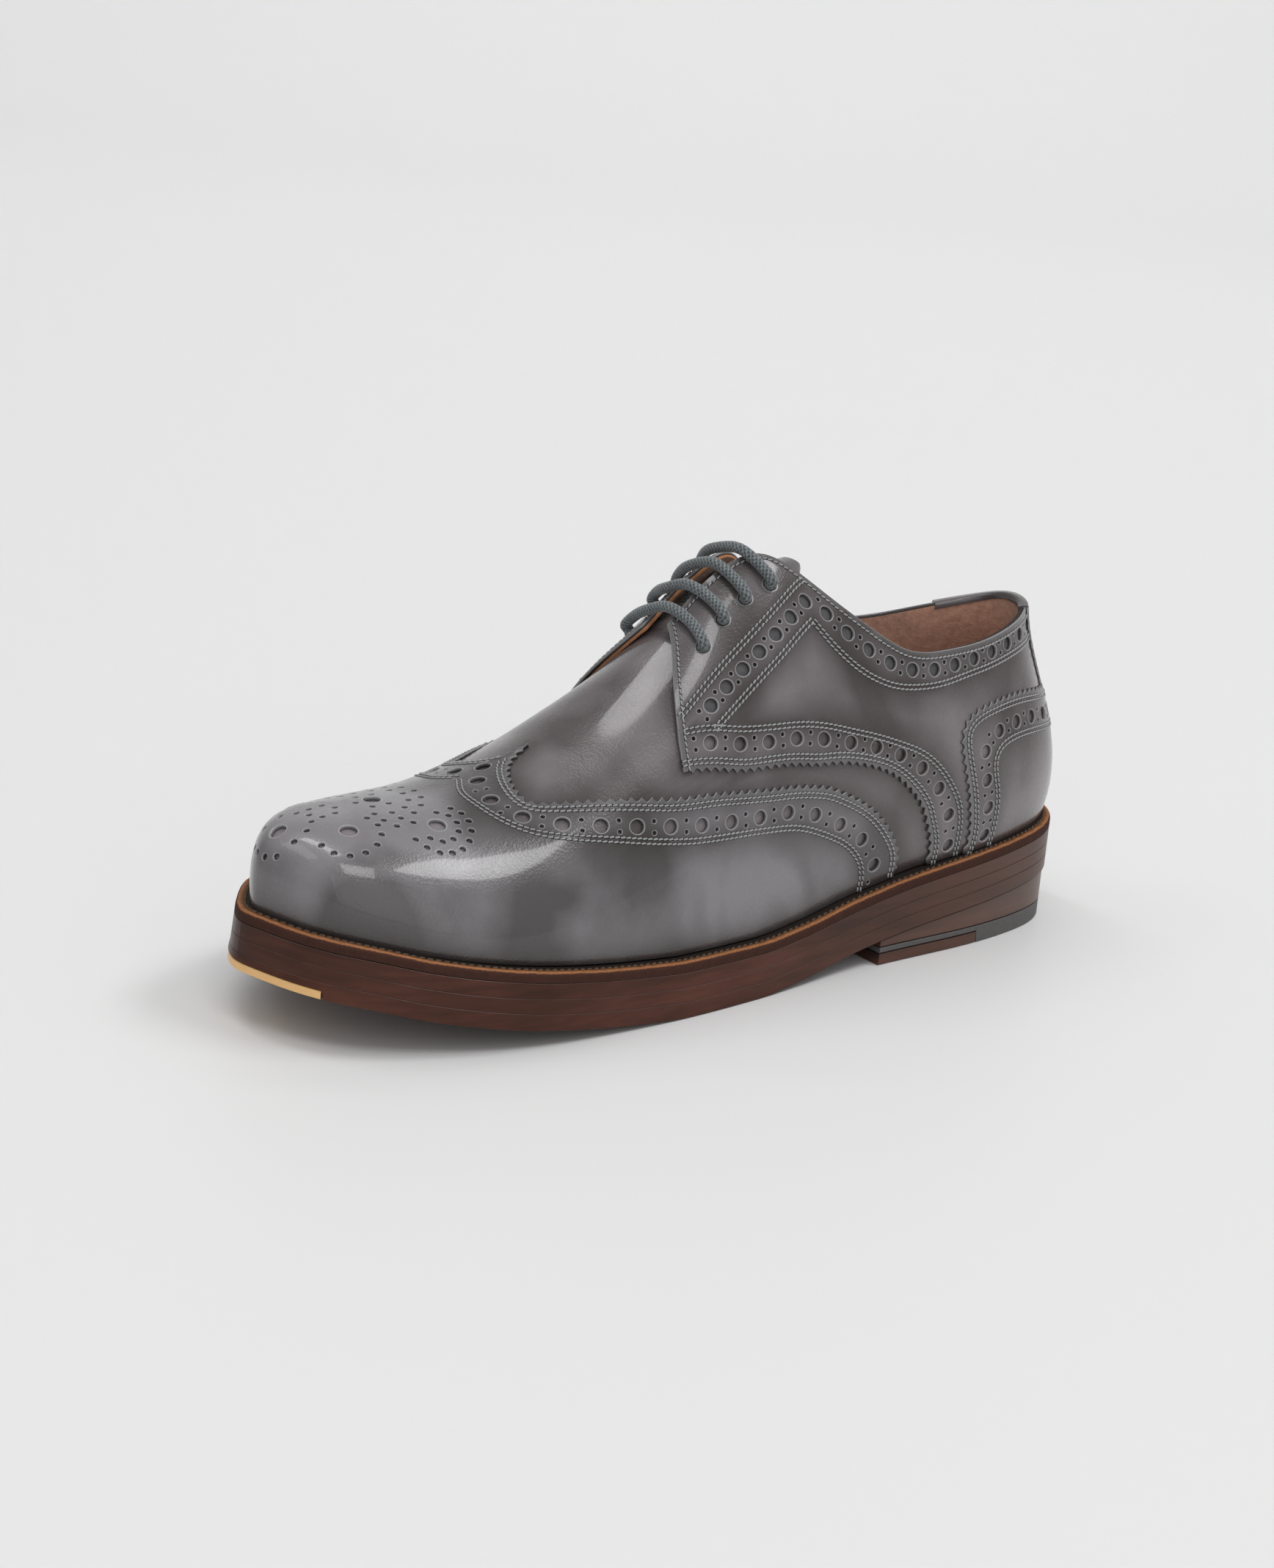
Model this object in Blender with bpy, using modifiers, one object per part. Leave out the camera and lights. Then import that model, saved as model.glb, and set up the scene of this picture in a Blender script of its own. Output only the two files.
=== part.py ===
"""Left shoe of a pair: a full brogue derby on a triple leather sole, built from sections of its last.

Units of the tables are millimetres; x runs from the heel to the toe, y to the outer (lateral) side, z up.
"""

import bmesh
import bpy
import numpy as np
from mathutils import Matrix, Vector

MM = 0.001
OBJECT_NAME = "full_brogue_derby"

# Sections of the last from the heel's back to the toe, one row each:
# x, lateral and medial are the sole's edge, and ledge is how far the upper stands in from that edge.
# top_x, top_half and top_z are the upper's top line (collar, facing, then the ridge of the vamp),
# and inner_low is how much lower that line is on the medial side.
# rise and flare aim the wall where it leaves the sole, reach and drop where it comes to the top line.
COLUMNS = (
    "x", "lateral", "medial", "ledge", "top_x", "top_half", "top_z", "inner_low",
    "rise", "flare", "reach", "drop",
)
SECTIONS = (
    (0, 0, 0, 4.5, 15.5, 0, 104.5, 0, 26, 8, 1, 22),
    (3, 15.6, 16.5, 4.5, 16.4, 6, 104.2, 0.5, 26, 8, 2, 22),
    (12, 25.8, 27, 4.5, 21, 12.8, 102.8, 1.5, 26, 7.5, 3, 22),
    (30, 33.4, 34, 4.5, 35, 21, 100, 2.5, 26, 6.5, 4, 22),
    (55, 37.9, 36.2, 4.5, 57, 26.5, 97, 3, 26, 5, 5, 24),
    (80, 39.8, 35.2, 4.5, 80, 28.5, 96.5, 3, 28, 3, 6, 24),
    (110, 42.4, 34, 5, 106, 23, 110, 3, 32, 2, 12, 22),
    (140, 46.6, 35.5, 5.5, 132, 8, 128, 3, 36, 1, 21.5, 13),
    (170, 50.7, 41, 6, 149, 6, 121, 3.5, 34, 2, 19, 9),
    (200, 53.2, 48.5, 6.5, 165, 6, 106.5, 3.5, 28, 3, 19, 7),
    (220, 54, 52, 6.5, 186, 0, 86.8, 0, 24, 3, 22, 1),
    (245, 52.2, 51, 6.5, 208, 0, 72.5, 0, 20, 3, 26, 0),
    (268, 45.5, 42.5, 6.2, 233, 0, 64.5, 0, 20, 2.5, 30, 0),
    (285, 37, 29.8, 5.8, 253, 0, 62, 0, 22, 2, 30, 0),
    (297, 23, 14.2, 5.4, 262, 0, 61.5, 0, 23, 2, 29, 0),
    (302.5, 8.8, 4.8, 5.4, 262, 0, 61.5, 0, 23, 2, 29, 0),
    (304, 1.5, -1.5, 5.4, 262, 0, 61.5, 0, 23, 2, 29, 0),
)
TABLE = {name: np.array(values, float) for name, values in zip(COLUMNS, zip(*SECTIONS))}
FIRST_RIDGE_ROW = 10
TOE_SLOPE = -0.06
LOOP_MIDDLE_X = 150.0

# Underside of the outsole: x, height above the floor (heel seat, waist, flat tread, toe spring).
UNDERSIDE = (
    (0, 17.7), (78, 10.7), (105, 6.7), (130, 2), (150, 0), (178, 0),
    (195, 1.1), (215, 3.1), (240, 6.3), (265, 10.4), (285, 14.7), (305, 17.2),
)

# The crown falls away sooner on the inner side of the vamp: share of reach at places along the upper.
INNER_SHARE = ((0, 1), (0.55, 1), (0.66, 0.62), (0.80, 0.62), (0.93, 1), (1, 1))

GAP = 0.3
OUTSOLE = 4.7
MIDSOLE_LOWER = 4.1
MIDSOLE_UPPER = 4.3
WELT = 3.0
WELT_UNDER_WALL = 3.2
INSOLE = 3.6
WALL = 2.2

# Layers from the underside up, each as its bottom and top height over the underside.
LOWER_BOTTOM = OUTSOLE + GAP
UPPER_BOTTOM = LOWER_BOTTOM + MIDSOLE_LOWER + GAP
WELT_BOTTOM = UPPER_BOTTOM + MIDSOLE_UPPER + GAP
WELT_TOP = WELT_BOTTOM + WELT

# The sole's edge leans in towards its top, from nothing in the waist to the full amount ahead of it.
LEAN = 1.5
LEAN_OVER_X = (110.0, 190.0)

BREAST_X = 95.0
HEEL_INSET = 0.6
TOP_LIFT = 5.6
RUBBER_LAYER = 1.7
RUBBER_END_X = 50.0
TOE_PLATE = 2.4
TOE_PLATE_X = 293.0

# Eyelets, from the bottom pair up: place along the upper (0 heel, 1 toe), distance in from the facing's edge,
# and the place along where the lace crosses that edge.
EYELETS = ((0.590, 17.5, 0.616), (0.553, 14.7, 0.580), (0.512, 13.0, 0.533), (0.470, 11.5, 0.490))
EYELET_RADIUS = 2.45
LACE_RADIUS = 1.7
LACE_CROWN = 0.9
LACE_DEPTH = WALL + LACE_RADIUS + 0.5
LACE_CLEAR = LACE_RADIUS + 0.7
LACE_OVER_EDGE = LACE_RADIUS + 0.5

# The lace's way through the eyelets: row from the bottom, side (+1 lateral, -1 medial).
LACE_STOPS = ((3, 1), (3, -1), (1, -1), (1, 1), (0, 1), (0, -1), (2, -1), (2, 1))

# Tongue from its root under the vamp to its tip: x, height of its crown, half width.
TONGUE = (
    (200, 73.2, 10.5), (188, 81.5, 14), (172, 90, 17), (156, 99.5, 18.5),
    (140, 110, 18), (127, 118, 13), (117, 121.5, 9), (113, 122.5, 5),
)
TONGUE_CURVE = 0.028
TONGUE_THICK = 2.6

STEPS_PER_ROW = 3
WALL_STEPS = 12
SLAB_STEPS = 44
TONGUE_STEPS = 22
TONGUE_POINTS = 9
EYELET_SIDES = 16


def pchip(xs, ys, level_ends=False):
    """Smooth curve through the points that doesn't swing past them, level at its ends or not."""
    xs = np.asarray(xs, float)
    ys = np.asarray(ys, float)
    step = np.diff(xs)
    rate = np.diff(ys) / step
    slope = np.zeros_like(ys)
    if not level_ends:
        slope[0], slope[-1] = rate[0], rate[-1]
    for i in range(1, len(xs) - 1):
        if rate[i - 1] * rate[i] > 0:
            before = 2 * step[i] + step[i - 1]
            after = step[i] + 2 * step[i - 1]
            slope[i] = (before + after) / (before / rate[i - 1] + after / rate[i])

    def value(x):
        x = np.clip(np.asarray(x, float), xs[0], xs[-1])
        i = np.clip(np.searchsorted(xs, x) - 1, 0, len(step) - 1)
        t = (x - xs[i]) / step[i]
        rest = 1 - t
        ends = ys[i] * rest**2 * (1 + 2 * t) + ys[i + 1] * t**2 * (3 - 2 * t)
        return ends + step[i] * (slope[i] * t * rest**2 - slope[i + 1] * t**2 * rest)

    return value


def ring_spline(places, values, period):
    """Smooth curve through values round a closed loop."""
    count = len(places)
    step = np.diff(np.append(places, places[0] + period))
    matrix = np.zeros((count, count))
    right = np.zeros(count)
    for i in range(count):
        after = (i + 1) % count
        matrix[i, i - 1] += step[i - 1]
        matrix[i, i] += 2 * (step[i - 1] + step[i])
        matrix[i, after] += step[i]
        right[i] = 6 * ((values[after] - values[i]) / step[i] - (values[i] - values[i - 1]) / step[i - 1])
    bend = np.linalg.solve(matrix, right)

    def value(u):
        u = (np.asarray(u, float) - places[0]) % period + places[0]
        i = np.clip(np.searchsorted(places, u, side="right") - 1, 0, count - 1)
        j = (i + 1) % count
        t = u - places[i]
        rest = step[i] - t
        curve = (bend[i] * rest**3 + bend[j] * t**3) / (6 * step[i])
        start = (values[i] / step[i] - bend[i] * step[i] / 6) * rest
        end = (values[j] / step[i] - bend[j] * step[i] / 6) * t
        return curve + start + end

    return value


def row_places():
    """Place of each row along the edge, from 0 at the heel to 1 at the toe."""
    run = np.diff(TABLE["x"])
    lateral = np.hypot(run, np.diff(TABLE["lateral"]))
    medial = np.hypot(run, np.diff(TABLE["medial"]))
    way = np.append(0, np.cumsum(lateral + medial))
    return way / way[-1]


def ridge_slopes():
    """Fall of the ridge at each row, and nothing along collar and facings."""
    slope = np.zeros(len(SECTIONS))
    run, height = TABLE["top_x"], TABLE["top_z"]
    for i in range(FIRST_RIDGE_ROW, len(SECTIONS)):
        flat = run[min(i + 1, len(run) - 1)] == run[i]
        slope[i] = TOE_SLOPE if flat else (height[i + 1] - height[i - 1]) / (run[i + 1] - run[i - 1])
    return slope


PLACES = row_places()
LOOP = np.concatenate([-PLACES[-2:0:-1], PLACES])
EDGE_X = ring_spline(LOOP, np.concatenate([TABLE["x"][-2:0:-1], TABLE["x"]]), 2.0)
EDGE_Y = ring_spline(LOOP, np.concatenate([-TABLE["medial"][-2:0:-1], TABLE["lateral"]]), 2.0)
COLUMN = {name: pchip(PLACES, TABLE[name], name != "top_half") for name in COLUMNS}
SLOPE = pchip(PLACES, ridge_slopes())
UNDER = pchip(*zip(*UNDERSIDE))
INNER_REACH = pchip(*zip(*INNER_SHARE))


def edge(u):
    """Points of the sole's edge in plan, and their outward directions."""
    u = np.asarray(u, float)
    near = 1e-4
    dx = EDGE_X(u + near) - EDGE_X(u - near)
    dy = EDGE_Y(u + near) - EDGE_Y(u - near)
    point = np.stack([EDGE_X(u), EDGE_Y(u)], -1)
    out = np.stack([-dy, dx], -1) / np.hypot(dx, dy)[..., None]
    from_middle = point - np.array([LOOP_MIDDLE_X, 0.0])
    inward = (out * from_middle).sum(-1, keepdims=True) < 0
    return point, np.where(inward, -out, out)


def last(u, v):
    """Outside of the upper: u is 0 at the heel and 1 or -1 at the toe, v goes up to the top line."""
    u, v = np.broadcast_arrays(np.asarray(u, float), np.asarray(v, float))
    place = np.abs(u)
    side = np.where(u < 0, -1.0, 1.0)
    column = {name: COLUMN[name](place) for name in COLUMNS[3:]}
    point, out = edge(u)
    out = np.append(out, np.zeros_like(out[..., :1]), -1)
    foot = point - out[..., :2] * column["ledge"][..., None]
    foot = np.append(foot, UNDER(foot[..., :1]) + WELT_TOP + GAP, -1)
    low = column["inner_low"] * (u < 0)
    top = np.stack([column["top_x"], side * column["top_half"], column["top_z"] - low], -1)
    up = np.array([0.0, 0.0, 1.0])
    lower = foot + out * column["flare"][..., None] + up * column["rise"][..., None]
    reach = column["reach"] * np.where(u < 0, INNER_REACH(place), 1.0)
    fall = SLOPE(place) * out[..., 0] * reach - column["drop"]
    upper = top + out * reach[..., None] + up * fall[..., None]
    v = v[..., None]
    rest = 1 - v
    return foot * rest**3 + 3 * lower * v * rest**2 + 3 * upper * v**2 * rest + top * v**3


def last_normal(u, v):
    """Outward direction of the upper's outside at one place."""
    near = 1e-3
    along = last(u + near, v) - last(u - near, v)
    upward = last(u, v + near) - last(u, v - near)
    normal = np.cross(along, upward)
    normal /= np.linalg.norm(normal)
    return normal if normal[2] > 0 else -normal


def in_from_top(u, distance):
    """Height v at a distance down the wall from the top line."""
    heights = np.linspace(0, 1, 201)
    points = last(u, heights)
    way = np.append(0, np.cumsum(np.linalg.norm(np.diff(points, axis=0), axis=1)))
    return float(np.interp(way[-1] - distance, way, heights))


def edge_points(u, inset=0.0, from_wall=False):
    """Plan points along the edge, stepped in by inset, or by that much more than the upper's wall is."""
    point, out = edge(u)
    step = inset + from_wall * COLUMN["ledge"](np.abs(u))
    return point - out * np.broadcast_to(step, np.shape(u))[..., None]


def places_at(x, side):
    """Places along one side of the edge where it passes x."""
    u = np.linspace(0, 1, 2001)
    return side * np.interp(x, EDGE_X(side * u), u)


def lean(u, height):
    """How far the sole's edge has stepped in at a height over the underside."""
    return LEAN * np.interp(EDGE_X(u), LEAN_OVER_X, (0, 1)) * height / WELT_TOP


def rungs(x_first, x_last, low, high, count=SLAB_STEPS, inset=0.0, from_wall=False, levels=(0.0, 0.0)):
    """Cross sections of a slab between two x, each lateral low, medial low, medial high, lateral high."""
    sides = []
    for side in (1, -1):
        first, final = places_at((x_first, x_last), side)
        u = np.linspace(first, final, count)
        sides += [edge_points(u, inset + lean(u, height), from_wall) for height in levels]
    rings = []
    for lateral_low, lateral_high, medial_low, medial_high in zip(*sides):
        corners = ((lateral_low, low), (medial_low, low), (medial_high, high), (lateral_high, high))
        rings.append([(x, y, height(x)) for (x, y), height in corners])
    return rings


def over_underside(height):
    """Height function of a layer that follows the underside."""
    return lambda x: UNDER(x) + height


def level(height):
    """Height function of a level face."""
    return lambda x: height


def material(name, colour, roughness, metallic=0.0):
    made = bpy.data.materials.new(name)
    made.use_nodes = True
    shader = made.node_tree.nodes["Principled BSDF"]
    shader.inputs["Base Color"].default_value = (*colour, 1.0)
    shader.inputs["Roughness"].default_value = roughness
    shader.inputs["Metallic"].default_value = metallic
    return made


def add_object(name, mesh, collection, look=None):
    made = bpy.data.objects.new(name, mesh)
    collection.objects.link(made)
    if look:
        mesh.materials.append(look)
        mesh.shade_smooth()
    return made


def loft(name, rings, collection, look, closed=False):
    """Solid through rings of equally many points, capped at its ends unless it closes on itself."""
    bm = bmesh.new()
    loops = [[bm.verts.new(Vector(point) * MM) for point in ring] for ring in rings]
    pairs = list(zip(loops, loops[1:] + loops[:1])) if closed else list(zip(loops, loops[1:]))
    for one, other in pairs:
        for i in range(len(one)):
            bm.faces.new((one[i - 1], one[i], other[i], other[i - 1]))
    if not closed:
        bm.faces.new(loops[0])
        bm.faces.new(loops[-1][::-1])
    bmesh.ops.remove_doubles(bm, verts=bm.verts, dist=1e-6)
    bmesh.ops.dissolve_degenerate(bm, edges=bm.edges, dist=1e-6)
    bmesh.ops.recalc_face_normals(bm, faces=bm.faces)
    mesh = bpy.data.meshes.new(name)
    bm.to_mesh(mesh)
    bm.free()
    return add_object(name, mesh, collection, look)


def build_sole(parts):
    """Outsole with its toe plate, two midsoles, the welt's ring and the insole inside it."""
    leather = material("sole_edge_leather", (0.13, 0.06, 0.035), 0.4)
    toe_x = TABLE["x"][-1]
    bottom, top = over_underside(0), over_underside(OUTSOLE)
    tread = rungs(0, TOE_PLATE_X - GAP, bottom, top, levels=(0.0, OUTSOLE))
    over_plate = rungs(
        TOE_PLATE_X - GAP, toe_x, over_underside(TOE_PLATE + GAP), top, SLAB_STEPS // 2,
        levels=(TOE_PLATE + GAP, OUTSOLE),
    )
    loft("outsole", tread + over_plate, parts, leather)
    plate = rungs(
        TOE_PLATE_X, toe_x, bottom, over_underside(TOE_PLATE), SLAB_STEPS // 2, levels=(0.0, TOE_PLATE)
    )
    loft("toe_plate", plate, parts, material("toe_plate_brass", (0.65, 0.42, 0.14), 0.35, 1.0))
    for name, base, thick in (
        ("midsole_lower", LOWER_BOTTOM, MIDSOLE_LOWER),
        ("midsole_upper", UPPER_BOTTOM, MIDSOLE_UPPER),
    ):
        layer = rungs(
            0, toe_x, over_underside(base), over_underside(base + thick), levels=(base, base + thick)
        )
        loft(name, layer, parts, leather)
    around = np.linspace(-1, 1, 2 * SLAB_STEPS, endpoint=False)
    outer = [edge_points(around, lean(around, height)) for height in (WELT_BOTTOM, WELT_TOP)]
    inner = edge_points(around, WELT_UNDER_WALL, from_wall=True)
    ring = []
    for low, high, inside in zip(*outer, inner):
        corners = ((low, WELT_BOTTOM), (inside, WELT_BOTTOM), (inside, WELT_TOP), (high, WELT_TOP))
        ring.append([(x, y, UNDER(x) + height) for (x, y), height in corners])
    loft("welt", ring, parts, material("welt_leather", (0.45, 0.24, 0.12), 0.6), closed=True)
    board = rungs(
        0, toe_x, over_underside(WELT_BOTTOM), over_underside(WELT_BOTTOM + INSOLE),
        inset=WELT_UNDER_WALL + GAP, from_wall=True,
    )
    loft("insole", board, parts, material("insole_leather", (0.36, 0.22, 0.14), 0.7))


def build_heel(parts):
    """Wedge of lifts under the outsole, and a top piece of leather in front and rubber behind."""
    stacked = material("heel_leather", (0.12, 0.06, 0.04), 0.4)
    rubber = material("heel_rubber", (0.02, 0.018, 0.017), 0.65)
    lifts = rungs(0, BREAST_X, level(TOP_LIFT + GAP), over_underside(-GAP), inset=HEEL_INSET)
    loft("heel_stack", lifts, parts, stacked)
    block = rungs(0, RUBBER_END_X, level(0), level(TOP_LIFT), inset=HEEL_INSET)
    layer_low = level(TOP_LIFT - RUBBER_LAYER)
    layer = rungs(RUBBER_END_X, BREAST_X, layer_low, level(TOP_LIFT), SLAB_STEPS // 4, HEEL_INSET)
    loft("top_lift_rubber", block + layer, parts, rubber)
    front_top = level(TOP_LIFT - RUBBER_LAYER - GAP)
    front = rungs(RUBBER_END_X + GAP, BREAST_X, level(0), front_top, SLAB_STEPS // 4, HEEL_INSET)
    loft("top_lift_leather", front, parts, stacked)


def eyelet(row, side):
    """Centre and outward direction of an eyelet."""
    place, distance, crossing = EYELETS[row]
    v = in_from_top(side * place, distance)
    return last(side * place, v), last_normal(side * place, v)


def build_upper(parts, cutters):
    """Wall over the last, open underneath, at the collar and along the throat, with eyelets cut through."""
    rows = len(SECTIONS) - 1
    bm = bmesh.new()
    bmesh.ops.create_grid(bm, x_segments=2 * rows * STEPS_PER_ROW, y_segments=WALL_STEPS, size=1)
    for vert in bm.verts:
        place = np.interp(abs(vert.co.x) * rows, np.arange(rows + 1), PLACES)
        vert.co = Vector(last(np.copysign(place, vert.co.x), (vert.co.y + 1) / 2)) * MM
    bmesh.ops.remove_doubles(bm, verts=bm.verts, dist=1e-6)
    bmesh.ops.dissolve_degenerate(bm, edges=bm.edges, dist=1e-6)
    bmesh.ops.recalc_face_normals(bm, faces=bm.faces)
    middle = Vector((LOOP_MIDDLE_X, 0, 0)) * MM
    outward = sum(face.normal.dot(face.calc_center_median() - middle) for face in bm.faces)
    if outward < 0:
        bmesh.ops.reverse_faces(bm, faces=bm.faces)
    mesh = bpy.data.meshes.new("upper")
    bm.to_mesh(mesh)
    bm.free()
    upper = add_object("upper", mesh, parts, material("upper_leather", (0.13, 0.12, 0.12), 0.3))
    wall = upper.modifiers.new("wall", "SOLIDIFY")
    wall.thickness = WALL * MM
    wall.offset = -1.0
    wall.use_even_offset = True
    bm = bmesh.new()
    for row in range(len(EYELETS)):
        for side in (1, -1):
            centre, normal = eyelet(row, side)
            turn = Vector(normal).to_track_quat("Z", "Y").to_matrix().to_4x4()
            bmesh.ops.create_cone(
                bm, cap_ends=True, segments=EYELET_SIDES, radius1=EYELET_RADIUS * MM,
                radius2=EYELET_RADIUS * MM, depth=4 * WALL * MM,
                matrix=Matrix.Translation(Vector(centre) * MM) @ turn,
            )
    holes = bpy.data.meshes.new("eyelet_holes")
    bm.to_mesh(holes)
    bm.free()
    cutter = add_object("eyelet_holes", holes, cutters)
    cutter.hide_render = True
    cutter.display_type = "WIRE"
    cut = upper.modifiers.new("eyelets", "BOOLEAN")
    cut.object = cutter
    cut.operation = "DIFFERENCE"
    cut.solver = "EXACT"


def build_tongue(parts):
    """Curved strip under the facings, from its root inside the vamp to its tip over the instep."""
    across = np.linspace(-1, 1, TONGUE_POINTS)
    crown = pchip(*zip(*((-x, z) for x, z, half in TONGUE)))
    width = pchip(*zip(*((-x, half) for x, z, half in TONGUE)))
    rings = []
    for x in np.linspace(TONGUE[0][0], TONGUE[-1][0], TONGUE_STEPS):
        half = width(-x)
        over = [(x, half * t, crown(-x) - TONGUE_CURVE * (half * t) ** 2) for t in across]
        under = [(x, y, z - TONGUE_THICK) for x, y, z in over[::-1]]
        rings.append(over + under)
    loft("tongue", rings, parts, material("tongue_leather", (0.14, 0.13, 0.13), 0.35))


def over_edge(u):
    """Where the lace crosses the facing's edge."""
    away = last_normal(u, 0.99) + np.array([0.0, 0.0, 1.0])
    return last(u, 1.0) + away / np.linalg.norm(away) * LACE_OVER_EDGE


def lace_route():
    """Points of the lace: bars over the throat, and runs inside the facings between them."""
    route = []
    for row, side in LACE_STOPS:
        centre, normal = eyelet(row, side)
        hole = [centre - normal * LACE_DEPTH, centre, centre + normal * LACE_CLEAR]
        place, distance, crossing = EYELETS[row]
        between = side * (place + crossing) / 2
        half_way = last(between, in_from_top(between, distance / 2))
        brims = [over_edge(turn * crossing) for turn in (side, -side)]
        crown = np.mean(brims, axis=0) + np.array([0.0, 0.0, LACE_CROWN])
        rise = hole + [half_way + normal * LACE_CLEAR, brims[0]]
        first_of_bar = LACE_STOPS.index((row, side)) % 2 == 0
        route += rise + [crown] if first_of_bar else rise[::-1]
    return np.array(route)


def build_lace(parts):
    """Round cord along the lace's route."""
    route = lace_route()
    stops = np.arange(len(route))
    smooth = [pchip(stops, route[:, axis]) for axis in range(3)]
    points = np.stack([axis(np.linspace(0, stops[-1], 2 * stops[-1] + 1)) for axis in smooth], -1)
    curve = bpy.data.curves.new("lace", "CURVE")
    curve.dimensions = "3D"
    curve.bevel_depth = LACE_RADIUS * MM
    curve.bevel_resolution = 2
    curve.use_fill_caps = True
    spline = curve.splines.new("POLY")
    spline.points.add(len(points) - 1)
    for spot, point in zip(spline.points, points):
        spot.co = (*(point * MM), 1.0)
    curve.materials.append(material("lace_cord", (0.05, 0.055, 0.06), 0.8))
    parts.objects.link(bpy.data.objects.new("lace", curve))


def centre_on_floor(parts):
    """Moves the shoe so that the middle of its box's bottom is the origin."""
    bpy.context.view_layer.update()
    graph = bpy.context.evaluated_depsgraph_get()
    corners = []
    for part in parts.objects:
        shown = part.evaluated_get(graph)
        corners += [vertex.co.copy() for vertex in shown.to_mesh().vertices]
        shown.to_mesh_clear()
    low = Vector(map(min, zip(*corners)))
    high = Vector(map(max, zip(*corners)))
    centre = bpy.data.objects.new("shoe_centre", None)
    parts.objects.link(centre)
    for part in list(parts.objects) + list(bpy.data.collections["cutters"].objects):
        if part is not centre:
            part.parent = centre
    centre.location = (-(low.x + high.x) / 2, -(low.y + high.y) / 2, -low.z)


def main():
    for old in list(bpy.data.objects):
        bpy.data.objects.remove(old, do_unlink=True)
    parts = bpy.data.collections.new(OBJECT_NAME)
    cutters = bpy.data.collections.new("cutters")
    bpy.context.scene.collection.children.link(parts)
    bpy.context.scene.collection.children.link(cutters)
    build_sole(parts)
    build_heel(parts)
    build_upper(parts, cutters)
    build_tongue(parts)
    build_lace(parts)
    centre_on_floor(parts)


main()
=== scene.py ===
"""Looks of a left full brogue derby: punched and stitched leather, suede lining, lace and layered sole.

Sizes in the tables are millimetres: x runs from the heel to the toe, y to the outer (lateral) side, z up.
A place on the upper is two numbers: how far along (0 heel, 1 toe, below 0 on the inner side) and how far
up the wall (0 at the welt, 1 at the top line).
"""

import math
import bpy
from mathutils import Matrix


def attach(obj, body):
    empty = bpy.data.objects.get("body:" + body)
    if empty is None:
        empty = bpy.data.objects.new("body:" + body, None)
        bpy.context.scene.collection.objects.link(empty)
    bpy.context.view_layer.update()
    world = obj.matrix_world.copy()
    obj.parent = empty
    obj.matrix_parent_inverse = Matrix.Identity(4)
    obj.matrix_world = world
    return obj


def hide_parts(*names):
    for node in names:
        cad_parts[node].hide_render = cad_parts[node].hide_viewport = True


bl_info = {
    "name": "Full brogue derby",
    "version": (1, 0, 0),
    "blender": (4, 5, 0),
    "location": "3D View > Sidebar > Shoe",
    "description": "Builds the leather, stitches, lace, lining and sole of a left full brogue derby",
    "category": "Object",
}

import bpy
import numpy as np
from bpy.props import FloatProperty, FloatVectorProperty, PointerProperty
from bpy.types import Operator, Panel, PropertyGroup
from mathutils import Matrix, Quaternion, Vector
from mathutils.geometry import delaunay_2d_cdt
from mathutils.kdtree import KDTree

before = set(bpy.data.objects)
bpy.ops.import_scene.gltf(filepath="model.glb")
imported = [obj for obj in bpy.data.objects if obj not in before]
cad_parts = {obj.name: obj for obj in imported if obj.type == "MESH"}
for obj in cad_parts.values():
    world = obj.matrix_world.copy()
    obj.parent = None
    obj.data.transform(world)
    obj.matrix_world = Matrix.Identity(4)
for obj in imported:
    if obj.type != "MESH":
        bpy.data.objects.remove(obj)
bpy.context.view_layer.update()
BODY = "root"
MM = 0.001

# Sections of the last from the heel's back to the toe, one row each, with the columns of the part.
COLUMNS = (
    "x", "lateral", "medial", "ledge", "top_x", "top_half", "top_z", "inner_low",
    "rise", "flare", "reach", "drop",
)
SECTIONS = (
    (0, 0, 0, 4.5, 15.5, 0, 104.5, 0, 26, 8, 1, 22),
    (3, 15.6, 16.5, 4.5, 16.4, 6, 104.2, 0.5, 26, 8, 2, 22),
    (12, 25.8, 27, 4.5, 21, 12.8, 102.8, 1.5, 26, 7.5, 3, 22),
    (30, 33.4, 34, 4.5, 35, 21, 100, 2.5, 26, 6.5, 4, 22),
    (55, 37.9, 36.2, 4.5, 57, 26.5, 97, 3, 26, 5, 5, 24),
    (80, 39.8, 35.2, 4.5, 80, 28.5, 96.5, 3, 28, 3, 6, 24),
    (110, 42.4, 34, 5, 106, 23, 110, 3, 32, 2, 12, 22),
    (140, 46.6, 35.5, 5.5, 132, 8, 128, 3, 36, 1, 21.5, 13),
    (170, 50.7, 41, 6, 149, 6, 121, 3.5, 34, 2, 19, 9),
    (200, 53.2, 48.5, 6.5, 165, 6, 106.5, 3.5, 28, 3, 19, 7),
    (220, 54, 52, 6.5, 186, 0, 86.8, 0, 24, 3, 22, 1),
    (245, 52.2, 51, 6.5, 208, 0, 72.5, 0, 20, 3, 26, 0),
    (268, 45.5, 42.5, 6.2, 233, 0, 64.5, 0, 20, 2.5, 30, 0),
    (285, 37, 29.8, 5.8, 253, 0, 62, 0, 22, 2, 30, 0),
    (297, 23, 14.2, 5.4, 262, 0, 61.5, 0, 23, 2, 29, 0),
    (302.5, 8.8, 4.8, 5.4, 262, 0, 61.5, 0, 23, 2, 29, 0),
    (304, 1.5, -1.5, 5.4, 262, 0, 61.5, 0, 23, 2, 29, 0),
)
TABLE = {name: np.array(values, float) for name, values in zip(COLUMNS, zip(*SECTIONS))}
TOE_SLOPE = -0.06
LOOP_MIDDLE_X = 150.0

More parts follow.
